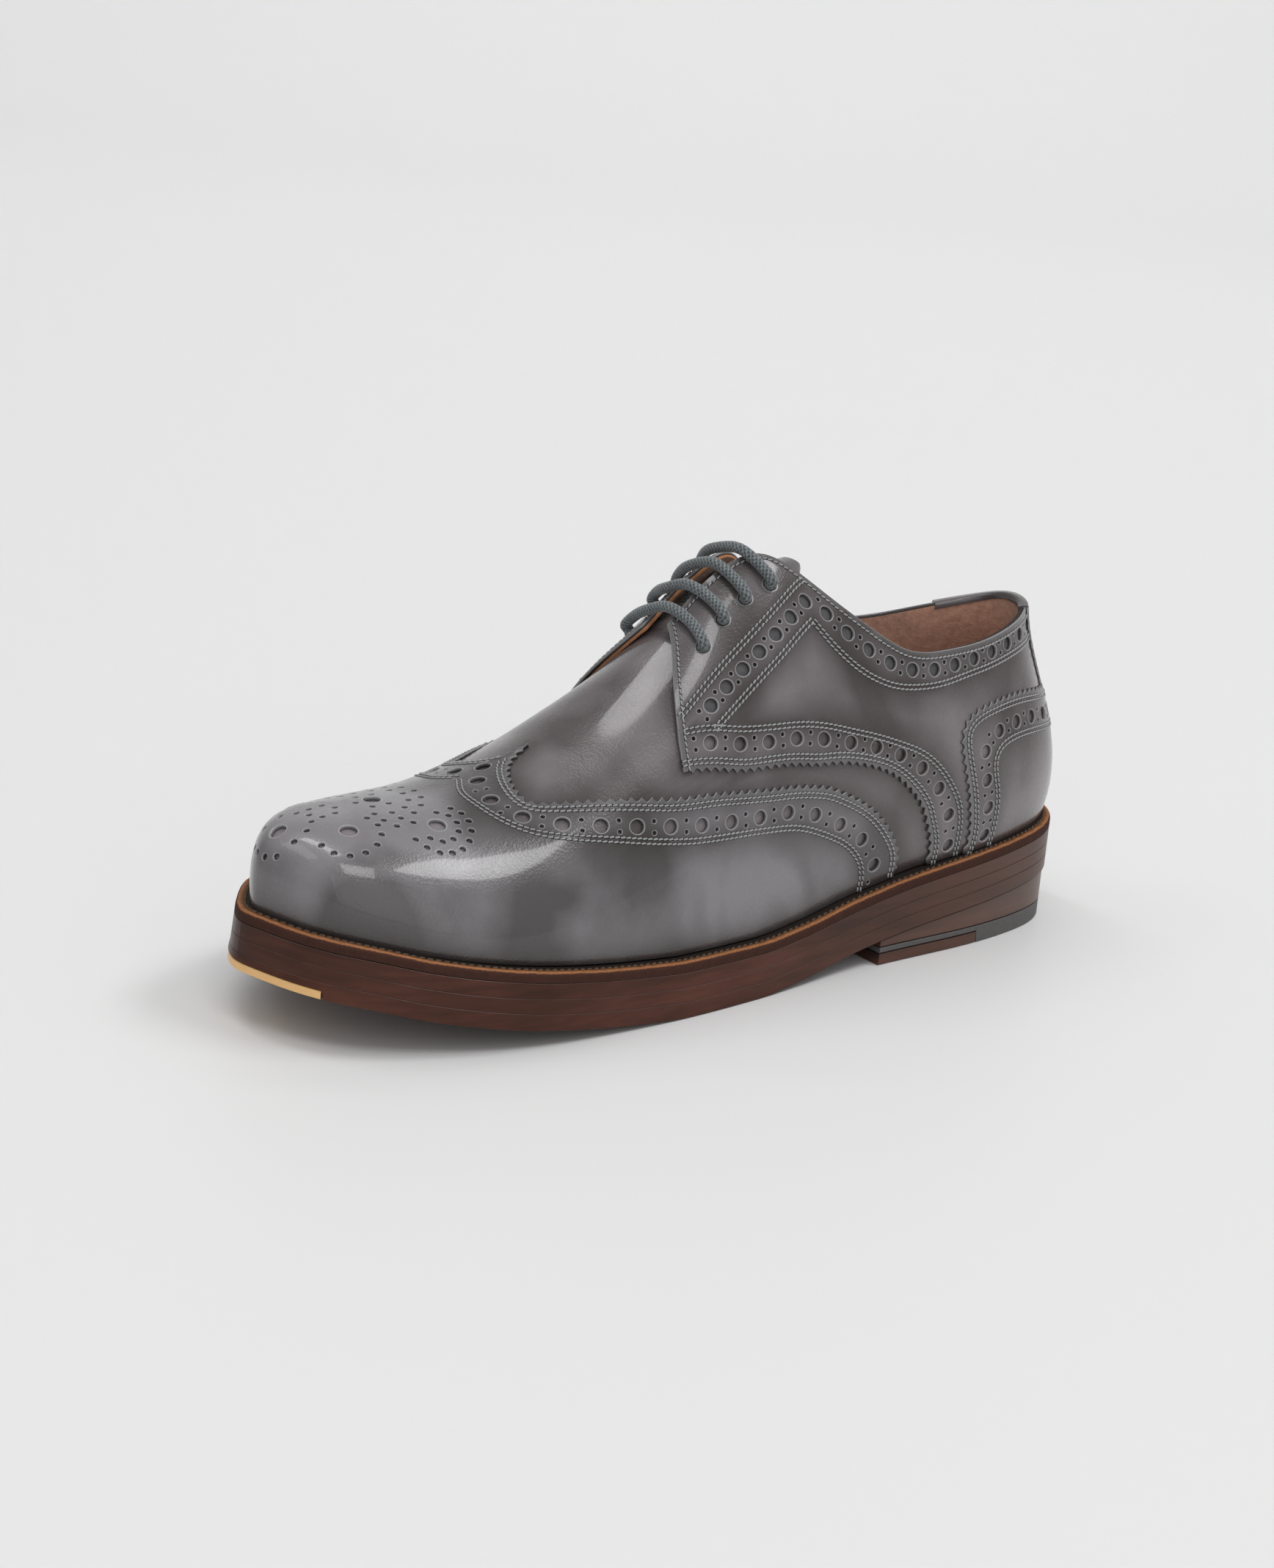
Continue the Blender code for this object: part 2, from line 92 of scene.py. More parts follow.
# The quarter's line carried on past the facing's corner, and the vamp's crown under the facings.
FACING_CARRIED_ON = {10: {"top_x": 182, "top_half": 6, "top_z": 91.5, "reach": 18, "drop": 3}}
VAMP_CROWN = {
    6: {"top_x": 121, "top_half": 0, "top_z": 126, "inner_low": 0, "reach": 22, "drop": 5},
    7: {"top_x": 138, "top_half": 0, "top_z": 120.5, "inner_low": 0, "reach": 24, "drop": 3},
    8: {"top_x": 154, "top_half": 0, "top_z": 109.2, "inner_low": 0, "reach": 25, "drop": 2},
    9: {"top_x": 170, "top_half": 0, "top_z": 97.6, "inner_low": 0, "reach": 25, "drop": 1},
    10: {"top_z": 86.0, "reach": 25, "drop": 0},
}

# Height of the outsole's underside at places along the shoe.
UNDERSIDE = (
    (0, 17.7), (78, 10.7), (105, 6.7), (130, 2), (150, 0), (178, 0),
    (195, 1.1), (215, 3.1), (240, 6.3), (265, 10.4), (285, 14.7), (305, 17.2),
)
# Share of reach on the vamp's inner side, at places along the upper.
INNER_SHARE = ((0, 1), (0.55, 1), (0.66, 0.62), (0.80, 0.62), (0.93, 1), (1, 1))
# Thickness of the sole's layers from the floor up, with the gap that is left between pieces.
GAP = 0.3
OUTSOLE = 4.7
MIDSOLE_LOWER = 4.1
MIDSOLE_UPPER = 4.3
WELT = 3.0
WELT_UNDER_WALL = 3.2
INSOLE = 3.6
LOWER_BOTTOM = OUTSOLE + GAP
UPPER_BOTTOM = LOWER_BOTTOM + MIDSOLE_LOWER + GAP
WELT_BOTTOM = UPPER_BOTTOM + MIDSOLE_UPPER + GAP
WELT_TOP = WELT_BOTTOM + WELT
# How far the sole's edge leans in from floor to welt, and over which x it begins to.
LEAN = 1.5
LEAN_OVER_X = (110.0, 190.0)
BREAST_X = 95.0
HEEL_INSET = 0.6
TOP_LIFT = 5.6
RUBBER_LAYER = 1.7
RUBBER_END_X = 50.0
TOE_PLATE = 2.4
TOE_PLATE_X = 293.0

# Lines on the outer side, as places along and up; the inner side has them mirrored.
WING_EDGE = (
    (0.760, 1.0), (0.781, 0.955), (0.787, 0.87), (0.783, 0.775), (0.772, 0.69), (0.75, 0.63), (0.68, 0.505),
    (0.614, 0.422), (0.57, 0.393), (0.503, 0.362), (0.438, 0.354), (0.405, 0.36), (0.387, 0.352),
    (0.365, 0.328), (0.342, 0.28), (0.324, 0.21), (0.311, 0.13), (0.307, 0.07), (0.308, 0.0),
)
WING_INNER = (
    (0.826, 1.0), (0.829, 0.9), (0.82, 0.802), (0.801, 0.682), (0.773, 0.568), (0.733, 0.475), (0.653, 0.36),
    (0.543, 0.283), (0.435, 0.255), (0.395, 0.22), (0.372, 0.175), (0.353, 0.085), (0.352, 0.0),
)
QUARTER_LOW = (
    (0.606, 0.476), (0.593, 0.468), (0.555, 0.44), (0.517, 0.414), (0.479, 0.406), (0.425, 0.411),
    (0.39, 0.441), (0.336, 0.446), (0.308, 0.393), (0.285, 0.286), (0.274, 0.18), (0.267, 0.09), (0.267, 0.0),
)
QUARTER_INNER = (
    (0.615, 0.582), (0.565, 0.54), (0.521, 0.506), (0.452, 0.495), (0.41, 0.524), (0.366, 0.557),
    (0.305, 0.561), (0.272, 0.481), (0.249, 0.351), (0.236, 0.231), (0.232, 0.12), (0.231, 0.0),
)
FACING_FRONT = ((0.606, 0.476), (0.618, 0.55), (0.628, 0.63), (0.637, 0.757), (0.635, 0.89), (0.628, 1.0))
FACING_LEFT = ((0.6245, 0.633), (0.587, 0.665), (0.538, 0.702), (0.489, 0.754), (0.451, 0.832), (0.42, 0.965))
FACING_RIGHT = ((0.567, 0.537), (0.538, 0.566), (0.495, 0.617), (0.463, 0.669), (0.44, 0.735), (0.423, 0.805))
COLLAR_LOW = (
    (0.423, 0.805), (0.41, 0.787), (0.397, 0.779), (0.367, 0.777), (0.33, 0.806), (0.295, 0.845), (0.258, 0.858),
    (0.22, 0.876), (0.158, 0.876), (0.097, 0.866), (0.07, 0.864),
)
COUNTER_EDGE = (
    (0.0, 0.575), (0.07, 0.6), (0.125, 0.66), (0.167, 0.697), (0.207, 0.698), (0.229, 0.657), (0.237, 0.583),
    (0.234, 0.435), (0.227, 0.292), (0.222, 0.175), (0.219, 0.07), (0.222, 0.0),
)
COUNTER_INNER = (
    (0.0, 0.40), (0.068, 0.425), (0.12, 0.468), (0.158, 0.492), (0.183, 0.478), (0.193, 0.415), (0.189, 0.273),
    (0.186, 0.133), (0.187, 0.0),
)
STRIP_EDGE = ((0.085, 1.0), (0.087, 0.89), (0.078, 0.74), (0.07, 0.58))
VAMP_BACK = (
    (0.235, 0.0), (0.238, 0.15), (0.245, 0.30), (0.265, 0.45), (0.305, 0.545), (0.36, 0.545), (0.40, 0.525),
    (0.45, 0.505), (0.49, 0.53), (0.505, 0.60), (0.51, 0.70), (0.515, 0.80), (0.525, 0.90), (0.53, 1.0),
)
LINING_FRONT = (
    (0.228, 0.0), (0.231, 0.15), (0.238, 0.31), (0.258, 0.46), (0.30, 0.557), (0.36, 0.557), (0.40, 0.537),
    (0.45, 0.525), (0.50, 0.565), (0.55, 0.575), (0.60, 0.575), (0.619, 0.61), (0.633, 0.76), (0.633, 0.89),
    (0.628, 1.0),
)

# Medallion on the toe, over the plan: holes as x and y, rows of small holes as centre, radius, angles and count.
MEDALLION_LARGE = ((291.5, 0.0), (261.0, 0.0), (277.5, 14.5), (252.0, 20.6))
MEDALLION_ROWS = (
    (290.5, 0.0, 8.2, 20, 150, 5),
    (277.5, 14.5, 9.2, 5, 205, 8),
    (252.0, 20.6, 9.8, 20, 215, 10),
    (252.0, 20.6, 6.2, 40, 240, 7),
    (261.0, 0.0, 10.4, 62, 180, 5),
    (261.0, 0.0, 14.2, 72, 180, 6),
    (261.0, 0.0, 17.6, 82, 100, 2),
    (261.0, 0.0, 5.4, 0, 120, 3),
    (277.5, 0.0, 4.2, 0, 180, 4),
)

# Eyelets from the bottom pair up: place along, distance in from the edge, place where the lace crosses the edge.
EYELETS = ((0.590, 17.5, 0.616), (0.553, 14.7, 0.580), (0.512, 13.0, 0.533), (0.470, 11.5, 0.490))
# Eyelets in the order in which the lace runs through them: pair and side.
LACE_STOPS = ((3, 1), (3, -1), (1, -1), (1, 1), (0, 1), (0, -1), (2, -1), (2, 1))
# Tongue from its lower end up: x, height of its crown and half its width.
TONGUE = (
    (200, 73.2, 10.5), (188, 81.5, 14), (172, 90, 17), (156, 99.5, 18.5),
    (140, 110, 18), (127, 118, 13), (117, 121.5, 9), (113, 122.5, 5),
)
TONGUE_CURVE = 0.028
TONGUE_THICK = 2.6

# Length and height of the wall laid flat, for spacing points over it; lines weigh their rise less.
WALL_LENGTH = 340
WALL_HEIGHT = 115
LINE_SCALE = (WALL_LENGTH, 90)
# Room left between layers of leather, and how far a sole layer swells into the gap to the next.
LAYER_GAP = 0.05
OVERLAY_GAP = 0.02
SWELL = 0.13
LAYER_ROUND = 0.12

# Where the camera looks, in millimetres, and how far it is moved to the right and up, in metres.
CAMERA_AIM = (152.5, 0.0, 50.0)
CAMERA_SHIFT = (-0.0101, 0.003)
# Soft boxes: whether one lights the backdrop, its turn and rise, distance, width, height, power and roll.
# Angles are in degrees, lengths in metres and power in watts.
SOFT_BOXES = (
    ("soft_box_top", False, -55.4, 70.9, 4.0, 0.5, 2.4, 24.0, -33.1),
    ("soft_box_left", False, -30, 50, 4.0, 1.8, 0.9, 8.0, 0),
    ("soft_box_right", False, 142, 57, 4.0, 2.1, 0.9, 48.0, 0),
    ("soft_box_facing", False, 63, 60, 4.0, 1.8, 1.2, 38.0, 0),
    ("soft_box_front", False, 62, 24, 4.0, 5.0, 3.4, 40.0, 0),
    ("soft_box_backdrop", True, 51.6, 50, 3.2, 4.0, 0.8, 46.0, 0),
)
WORLD_LIGHT = 0.38
UPWARD = np.array([0.0, 0.0, 1.0])


def size_setting(name, description, default):
    return FloatProperty(name=name, description=description, default=default)


def angle_setting(name, description, degrees):
    return FloatProperty(name=name, description=description, subtype="ANGLE", default=math.radians(degrees))


def colour_setting(name, description, default):
    return FloatVectorProperty(name=name, description=description, subtype="COLOR", default=default)


class ShoeSizes(PropertyGroup):
    """Sizes of the leather work in millimetres."""

    leather: size_setting("Leather", "Thickness of one layer of the upper", 1.1)
    lining: size_setting("Lining", "Thickness of the lining", 1.2)
    tooth: size_setting("Tooth", "Length of one tooth of a pinked edge", 3.3)
    tooth_depth: size_setting("Tooth depth", "Depth of a tooth of a pinked edge", 1.4)
    large_hole: size_setting("Large hole", "Radius of a large punched hole", 2.15)
    small_hole: size_setting("Small hole", "Radius of a small punched hole", 0.68)
    hole_pitch: size_setting("Hole pitch", "Distance between large holes", 9.6)
    stitch: size_setting("Stitch", "Length of one stitch", 1.72)
    stitch_pitch: size_setting("Stitch pitch", "Distance from stitch to stitch", 1.85)
    thread: size_setting("Thread", "Radius of the upper's thread", 0.3)
    row_gap: size_setting("Row gap", "Distance between the rows of a double seam", 1.4)
    lace: size_setting("Lace", "Radius of the lace", 1.75)


class ShoeColours(PropertyGroup):
    """Colours of leather, thread, lining and sole."""

    leather: colour_setting("Leather", "Lighter patches of the upper", (0.190, 0.182, 0.192))
    # Burnish colour, also used for the painted shade along edges, seams and the welt.
    burnish: colour_setting("Burnish", "Dark brushed patches of the upper", (0.026, 0.021, 0.019))
    thread: colour_setting("Thread", "Thread of the upper", (0.31, 0.313, 0.32))
    lace: colour_setting("Lace", "Braided lace", (0.085, 0.096, 0.10))
    suede: colour_setting("Suede", "Lining", (0.50, 0.29, 0.21))
    welt: colour_setting("Welt", "Raw top of the welt", (0.30, 0.125, 0.05))
    sole: colour_setting("Sole", "Waxed sole edge", (0.060, 0.021, 0.013))
    brass: colour_setting("Brass", "Toe plate", (0.85, 0.52, 0.22))


class ShoeStage(PropertyGroup):
    """Camera, floor and light."""

    turn: angle_setting("Turn", "Camera's turn from the side", 38.4)
    rise: angle_setting("Rise", "Camera's rise", 16.44)
    roll: angle_setting("Roll", "Camera's roll", 5.08)
    distance: FloatProperty(name="Distance", description="Camera's distance", unit="LENGTH", default=0.947)
    lens: size_setting("Lens", "Focal length in millimetres", 70.8)
    floor: colour_setting("Floor", "Floor and backdrop", (0.72, 0.72, 0.72))


def cubic(places, values, period=None):
    """Smooth curve through values, open or round a closed loop."""
    places = np.asarray(places, float)
    values = np.asarray(values, float)
    count = len(places)
    step = np.diff(np.append(places, places[0] + period) if period else places)
    matrix = np.eye(count)
    right = np.zeros(values.shape)
    for i in range(count) if period else range(1, count - 1):
        after = (i + 1) % count
        matrix[i] = 0
        matrix[i, i - 1] += step[i - 1]
        matrix[i, i] += 2 * (step[i - 1] + step[i])
        matrix[i, after] += step[i]
        right[i] = 6 * ((values[after] - values[i]) / step[i] - (values[i] - values[i - 1]) / step[i - 1])
    bend = np.linalg.solve(matrix, right)

    def value(x):
        x = np.asarray(x, float)
        if period:
            x = (x - places[0]) % period + places[0]
        i = np.clip(np.searchsorted(places, x, side="right") - 1, 0, len(step) - 1)
        j = (i + 1) % count
        wide, t = step[i], x - places[i]
        rest = wide - t
        if values.ndim > 1:
            wide, t, rest = wide[..., None], t[..., None], rest[..., None]
        curve = (bend[i] * rest**3 + bend[j] * t**3) / (6 * wide)
        return curve + (values[i] / wide - bend[i] * wide / 6) * rest + (values[j] / wide - bend[j] * wide / 6) * t

    return value


def pchip(xs, ys, level_ends=False):
    """Smooth curve through the points that doesn't swing past them, level at its ends or not."""
    xs = np.asarray(xs, float)
    ys = np.asarray(ys, float)
    step = np.diff(xs)
    rate = np.diff(ys) / step
    slope = np.zeros_like(ys)
    if not level_ends:
        slope[0], slope[-1] = rate[0], rate[-1]
    for i in range(1, len(xs) - 1):
        if rate[i - 1] * rate[i] > 0:
            before = 2 * step[i] + step[i - 1]
            after = step[i] + 2 * step[i - 1]
            slope[i] = (before + after) / (before / rate[i - 1] + after / rate[i])

    def value(x):
        x = np.clip(np.asarray(x, float), xs[0], xs[-1])
        i = np.clip(np.searchsorted(xs, x) - 1, 0, len(step) - 1)
        t = (x - xs[i]) / step[i]
        rest = 1 - t
        ends = ys[i] * rest**2 * (1 + 2 * t) + ys[i + 1] * t**2 * (3 - 2 * t)
        return ends + step[i] * (slope[i] * t * rest**2 - slope[i + 1] * t**2 * rest)

    return value


def smoothstep(value):
    value = np.clip(value, 0, 1)
    return value * value * (3 - 2 * value)


def unit(vectors):
    return vectors / np.maximum(np.linalg.norm(vectors, axis=-1, keepdims=True), 1e-12)


def length_along(points):
    """Distance from a line's first point to each of its points."""
    return np.append(0, np.cumsum(np.linalg.norm(np.diff(points, axis=0), axis=1)))


def at_marks(marks, way, values):
    """Values of a line's points at distances along it."""
    return np.stack([np.interp(marks, way, column) for column in values.T], -1)


def paired(u, v):
    return np.broadcast_arrays(np.asarray(u, float), np.asarray(v, float))


def tree_of(points):
    """Tree that finds the nearest of some points."""
    tree = KDTree(len(points))
    for i, point in enumerate(points):
        tree.insert(point, i)
    tree.balance()
    return tree


def row_places():
    """Place of each section along the edge, from 0 at the heel to 1 at the toe."""
    run = np.diff(TABLE["x"])
    way = np.hypot(run, np.diff(TABLE["lateral"])) + np.hypot(run, np.diff(TABLE["medial"]))
    way = np.append(0, np.cumsum(way))
    return way / way[-1]


PLACES = row_places()
LOOP = np.concatenate([-PLACES[-2:0:-1], PLACES])
EDGE = cubic(LOOP, np.stack([
    np.concatenate([TABLE["x"][-2:0:-1], TABLE["x"]]),
    np.concatenate([-TABLE["medial"][-2:0:-1], TABLE["lateral"]]),
], -1), 2.0)
UNDER = pchip(*zip(*UNDERSIDE))
INNER_REACH = pchip(*zip(*INNER_SHARE))
ROUND = EDGE(np.linspace(-1, 1, 4001))
CENTRE = np.append((ROUND.min(0) + ROUND.max(0)) / 2, 0.0)


def softened(values, odd=False, width=0.017, fine=401):
    """Column of the table as a curve along the shoe, eased so that gloss runs over it without breaks."""
    places = np.linspace(0, 1, fine)
    curve = pchip(PLACES, values, not odd)(places)
    reach = int(3 * width * fine)
    before = 2 * curve[0] - curve[reach:0:-1] if odd else curve[reach:0:-1]
    weight = np.exp(-0.5 * (np.arange(-reach, reach + 1) / (width * fine)) ** 2)
    eased = np.convolve(np.concatenate([before, curve, curve[-2:-reach - 2:-1]]), weight / weight.sum(), "valid")
    return pchip(places, eased)


def edge(u):
    """Points of the sole's edge in plan, and their outward directions."""
    u = np.asarray(u, float)
    along = EDGE(u + 1e-4) - EDGE(u - 1e-4)
    point = EDGE(u)
    out = unit(np.stack([-along[..., 1], along[..., 0]], -1))
    inward = (out * (point - np.array([LOOP_MIDDLE_X, 0.0]))).sum(-1, keepdims=True) < 0
    return point, np.where(inward, -out, out)


class Surface:
    """Part of the upper's outside; point gives its places in millimetres."""

    near = 1e-3

    def normal(self, u, v):
        near = self.near
        v = np.clip(v, -1, 1 - 4 * near)
        along = self.point(u + near, v) - self.point(u - near, v)
        up = self.point(u, v + near) - self.point(u, v - near)
        return unit(np.cross(up, along))

    def flat(self, u, v):
        """Place on the leather laid out flat."""
        u, v = paired(u, v)
        rise = v[..., None] + (1 - v[..., None]) * np.linspace(0, 1, 13)
        way = self.point(u[..., None], rise)
        length = np.linalg.norm(np.diff(way, axis=-2), axis=-1).sum(-1) * np.where(v > 1, -1, 1)
        return way[..., -1, :2] + edge(u)[1] * length[..., None]

    def slide(self, places, move):
        """Places after a small move over the surface in millimetres."""
        near = self.near
        u, v = places[..., 0], places[..., 1]
        su = (self.point(u + near, v) - self.point(u - near, v)) / (2 * near)
        sv = (self.point(u, v + near) - self.point(u, v - near)) / (2 * near)
        a, b, c = (su * su).sum(-1), (su * sv).sum(-1), (sv * sv).sum(-1)
        p, q = (su * move).sum(-1), (sv * move).sum(-1)
        span = np.maximum(a * c - b * b, 1e-9)
        return places + np.stack([(c * p - b * q) / span, (a * q - b * p) / span], -1)

    def down_from_top(self, u, distance):
        """Height at a distance down the wall from the top line."""
        heights = np.linspace(0, 1, 201)
        points = self.point(np.full_like(heights, u), heights)
        way = length_along(points)
        return float(np.interp(way[-1] - distance, way, heights))

    def along(self, line):
        """Points, directions, normals and left sides of a line of places."""
        points = self.point(line[:, 0], line[:, 1])
        ahead = unit(np.gradient(points, axis=0))
        normal = self.normal(line[:, 0], line[:, 1])
        return points, ahead, normal, unit(np.cross(normal, ahead))

    def paced(self, line, pitch, offset=0.0):
        """Places at an even pitch along a line, moved to its left by an offset."""
        line = np.asarray(line, float)
        if offset:
            line = self.slide(line, self.along(line)[3] * offset)
        points = self.point(line[:, 0], line[:, 1])
        way = length_along(points)
        marks = np.linspace(0, way[-1], max(2, int(round(way[-1] / pitch)) + 1))
        return at_marks(marks, way, line)


class Last(Surface):
    """Outside of the upper over sections of the last, with some rows of the table changed."""

    def __init__(self, changes):
        table = {name: column.copy() for name, column in TABLE.items()}
        for row, values in changes.items():
            for name, value in values.items():
                table[name][row] = value
        self.column = {name: softened(table[name], name == "top_half") for name in COLUMNS[3:]}
        run, height = table["top_x"], table["top_z"]
        ridge = np.flatnonzero((table["top_half"] == 0) & (run > run[0]))
        slope = np.zeros(len(run))
        for i in ridge:
            before, after = max(i - 1, ridge[0]), min(i + 1, len(run) - 1)
            level = run[after] == run[i]
            slope[i] = TOE_SLOPE if level else (height[after] - height[before]) / (run[after] - run[before])
        self.slope = softened(slope)

    def point(self, u, v):
        u, v = paired(u, v)
        u = (u + 1) % 2 - 1
        place, side = np.abs(u), np.where(u < 0, -1.0, 1.0)
        column = {name: curve(place) for name, curve in self.column.items()}
        plan, out = edge(u)
        out = np.append(out, np.zeros_like(out[..., :1]), -1)
        foot = plan - out[..., :2] * column["ledge"][..., None]
        foot = np.append(foot, UNDER(foot[..., :1]) + WELT_TOP + GAP, -1)
        low = column["inner_low"] * (u < 0)
        top = np.stack([column["top_x"], side * column["top_half"], column["top_z"] - low], -1)
        lower = foot + out * column["flare"][..., None] + UPWARD * column["rise"][..., None]
        reach = column["reach"] * np.where(u < 0, INNER_REACH(place), 1.0)
        fall = self.slope(place) * out[..., 0] * reach - column["drop"]
        upper = top + out * reach[..., None] + UPWARD * fall[..., None]
        v = v[..., None]
        rest = 1 - v
        return foot * rest**3 + 3 * lower * v * rest**2 + 3 * upper * v**2 * rest + top * v**3


class VampLast(Surface):
    """The vamp: close to the quarter along its low edge, and lower than it under the facings."""

    low_edge_from = 0.38
    sinks_over = 0.24
    sinks_from, full_from = (0.44, 0.06), (0.59, 0.13)

    def __init__(self, quarter, crown):
        self.quarter, self.crown = quarter, crown
        self.start = pchip(*zip(*sorted(at for at in QUARTER_LOW if at[0] > self.low_edge_from)))

    def point(self, u, v):
        u, v = paired(u, v)
        place = np.abs((u + 1) % 2 - 1)
        begun, ahead = (smoothstep((place - first) / over) for first, over in (self.sinks_from, self.full_from))
        share = smoothstep((v - self.start(place)) / self.sinks_over) * begun
        share = (share + ahead - share * ahead)[..., None]
        return self.quarter.point(u, v) * (1 - share) + self.crown.point(u, v) * share


QUARTER = Last(FACING_CARRIED_ON)
VAMP = VampLast(QUARTER, Last(VAMP_CROWN))


def traced(points, steps=14):
    """Dense smooth line through a few places."""
    points = np.array(points, float)
    way = np.append(0, np.cumsum(np.sqrt(np.linalg.norm(np.diff(points * LINE_SCALE, axis=0), axis=1))))
    return cubic(way, points)(np.linspace(0, way[-1], steps * len(points)))


def mirrored(line):
    return line * np.array([-1.0, 1.0])


def both_sides(line):
    return line, mirrored(line)


def level_line(first, last, height, count):
    """Line at one height of the wall."""
    return np.stack([np.linspace(first, last, count), np.full(count, float(height))], -1)


def around_toe(u):
    """Foot of the wall round the toe, from a place on the inner side to the same on the outer side."""
    return level_line(-u, u - 2, 0, 400)


def around_heel(u):
    return level_line(u, -u, 0, 300)


def between(one, other, share):
    """Line part of the way from one line to another."""
    even = np.linspace(0, 1, 160)
    both = []
    for line in (one, other):
        way = length_along(line * LINE_SCALE)
        both.append(at_marks(even * way[-1], way, line))
    return both[0] * (1 - share) + both[1] * share


LINES = {
    "wing_edge": traced(WING_EDGE), "wing_inner": traced(WING_INNER), "quarter_low": traced(QUARTER_LOW),
    "quarter_inner": traced(QUARTER_INNER), "facing_front": traced(FACING_FRONT),
    "facing_left": traced(FACING_LEFT), "facing_right": traced(FACING_RIGHT), "collar_low": traced(COLLAR_LOW),
    "counter_edge": traced(COUNTER_EDGE), "counter_inner": traced(COUNTER_INNER), "strip_edge": traced(STRIP_EDGE),
    "vamp_back": traced(VAMP_BACK), "lining_front": traced(LINING_FRONT),
}


def seams(surface, *names):
    """Points of lines on both sides of the shoe, along which the leather is painted dark: partly burnish, partly
    painted shade.
    """
    return [surface.point(*line.T) for name in names for line in both_sides(LINES[name])]


def to_frame(points):
    """Points of the tables in the part's own frame, in metres."""
    return (np.asarray(points, float) - CENTRE) * MM


def add_piece(name, points, faces, looks, face_looks=None, normals=None, sharp=None):
    """Mesh object from points in millimetres, riding on the shoe."""
    mesh = bpy.data.meshes.new(name)
    mesh.from_pydata(to_frame(points).tolist(), [], [list(map(int, face)) for face in faces])
    for look in looks:
        mesh.materials.append(look)
    if face_looks is not None:
        mesh.polygons.foreach_set("material_index", np.asarray(face_looks, np.int32))
    mesh.validate()
    mesh.shade_smooth()
    if sharp:
        mesh.set_sharp_from_angle(angle=math.radians(sharp))
    if normals is not None:
        mesh.normals_split_custom_set_from_vertices(np.asarray(normals).tolist())
    piece = bpy.data.objects.new(name, mesh)
    bpy.context.scene.collection.objects.link(piece)
    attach(piece, BODY)
    return piece


def add_number(piece, name, values):
    """A number on each vertex, for the materials."""
    attribute = piece.data.attributes.new(name, "FLOAT", "POINT")
    attribute.data.foreach_set("value", np.asarray(values, np.float32))


def within(triangles, walls):
    """Triangles inside the outline and outside the holes: crossing a wall turns out to in and back."""
    shared = {}
    for n, face in enumerate(triangles):
        for pair in zip(face, face[1:] + face[:1]):
            shared.setdefault(tuple(sorted(pair)), []).append(n)
    kept = {faces[0]: pair in walls for pair, faces in shared.items() if len(faces) == 1}
    queue = list(kept)
    while queue:
        n = queue.pop()
        face = triangles[n]
        for pair in zip(face, face[1:] + face[:1]):
            pair = tuple(sorted(pair))
            for other in shared[pair]:
                if other not in kept:
                    kept[other] = kept[n] != (pair in walls)
                    queue.append(other)
    return [face for n, face in enumerate(triangles) if kept[n]]


def apart(one, other, spare=0.03, far=12):
    """Whether two rounds in the plane keep clear of one another."""
    if np.linalg.norm(one.mean(0) - other.mean(0)) > far:
        return True
    for shape in (one, other):
        across = np.roll(shape, -1, axis=0) - shape
        axes = unit(np.stack([-across[:, 1], across[:, 0]]).T).T
        a, b = one @ axes, other @ axes
        if ((a.min(0) > b.max(0) + spare) | (b.min(0) > a.max(0) + spare)).any():
            return True
    return False


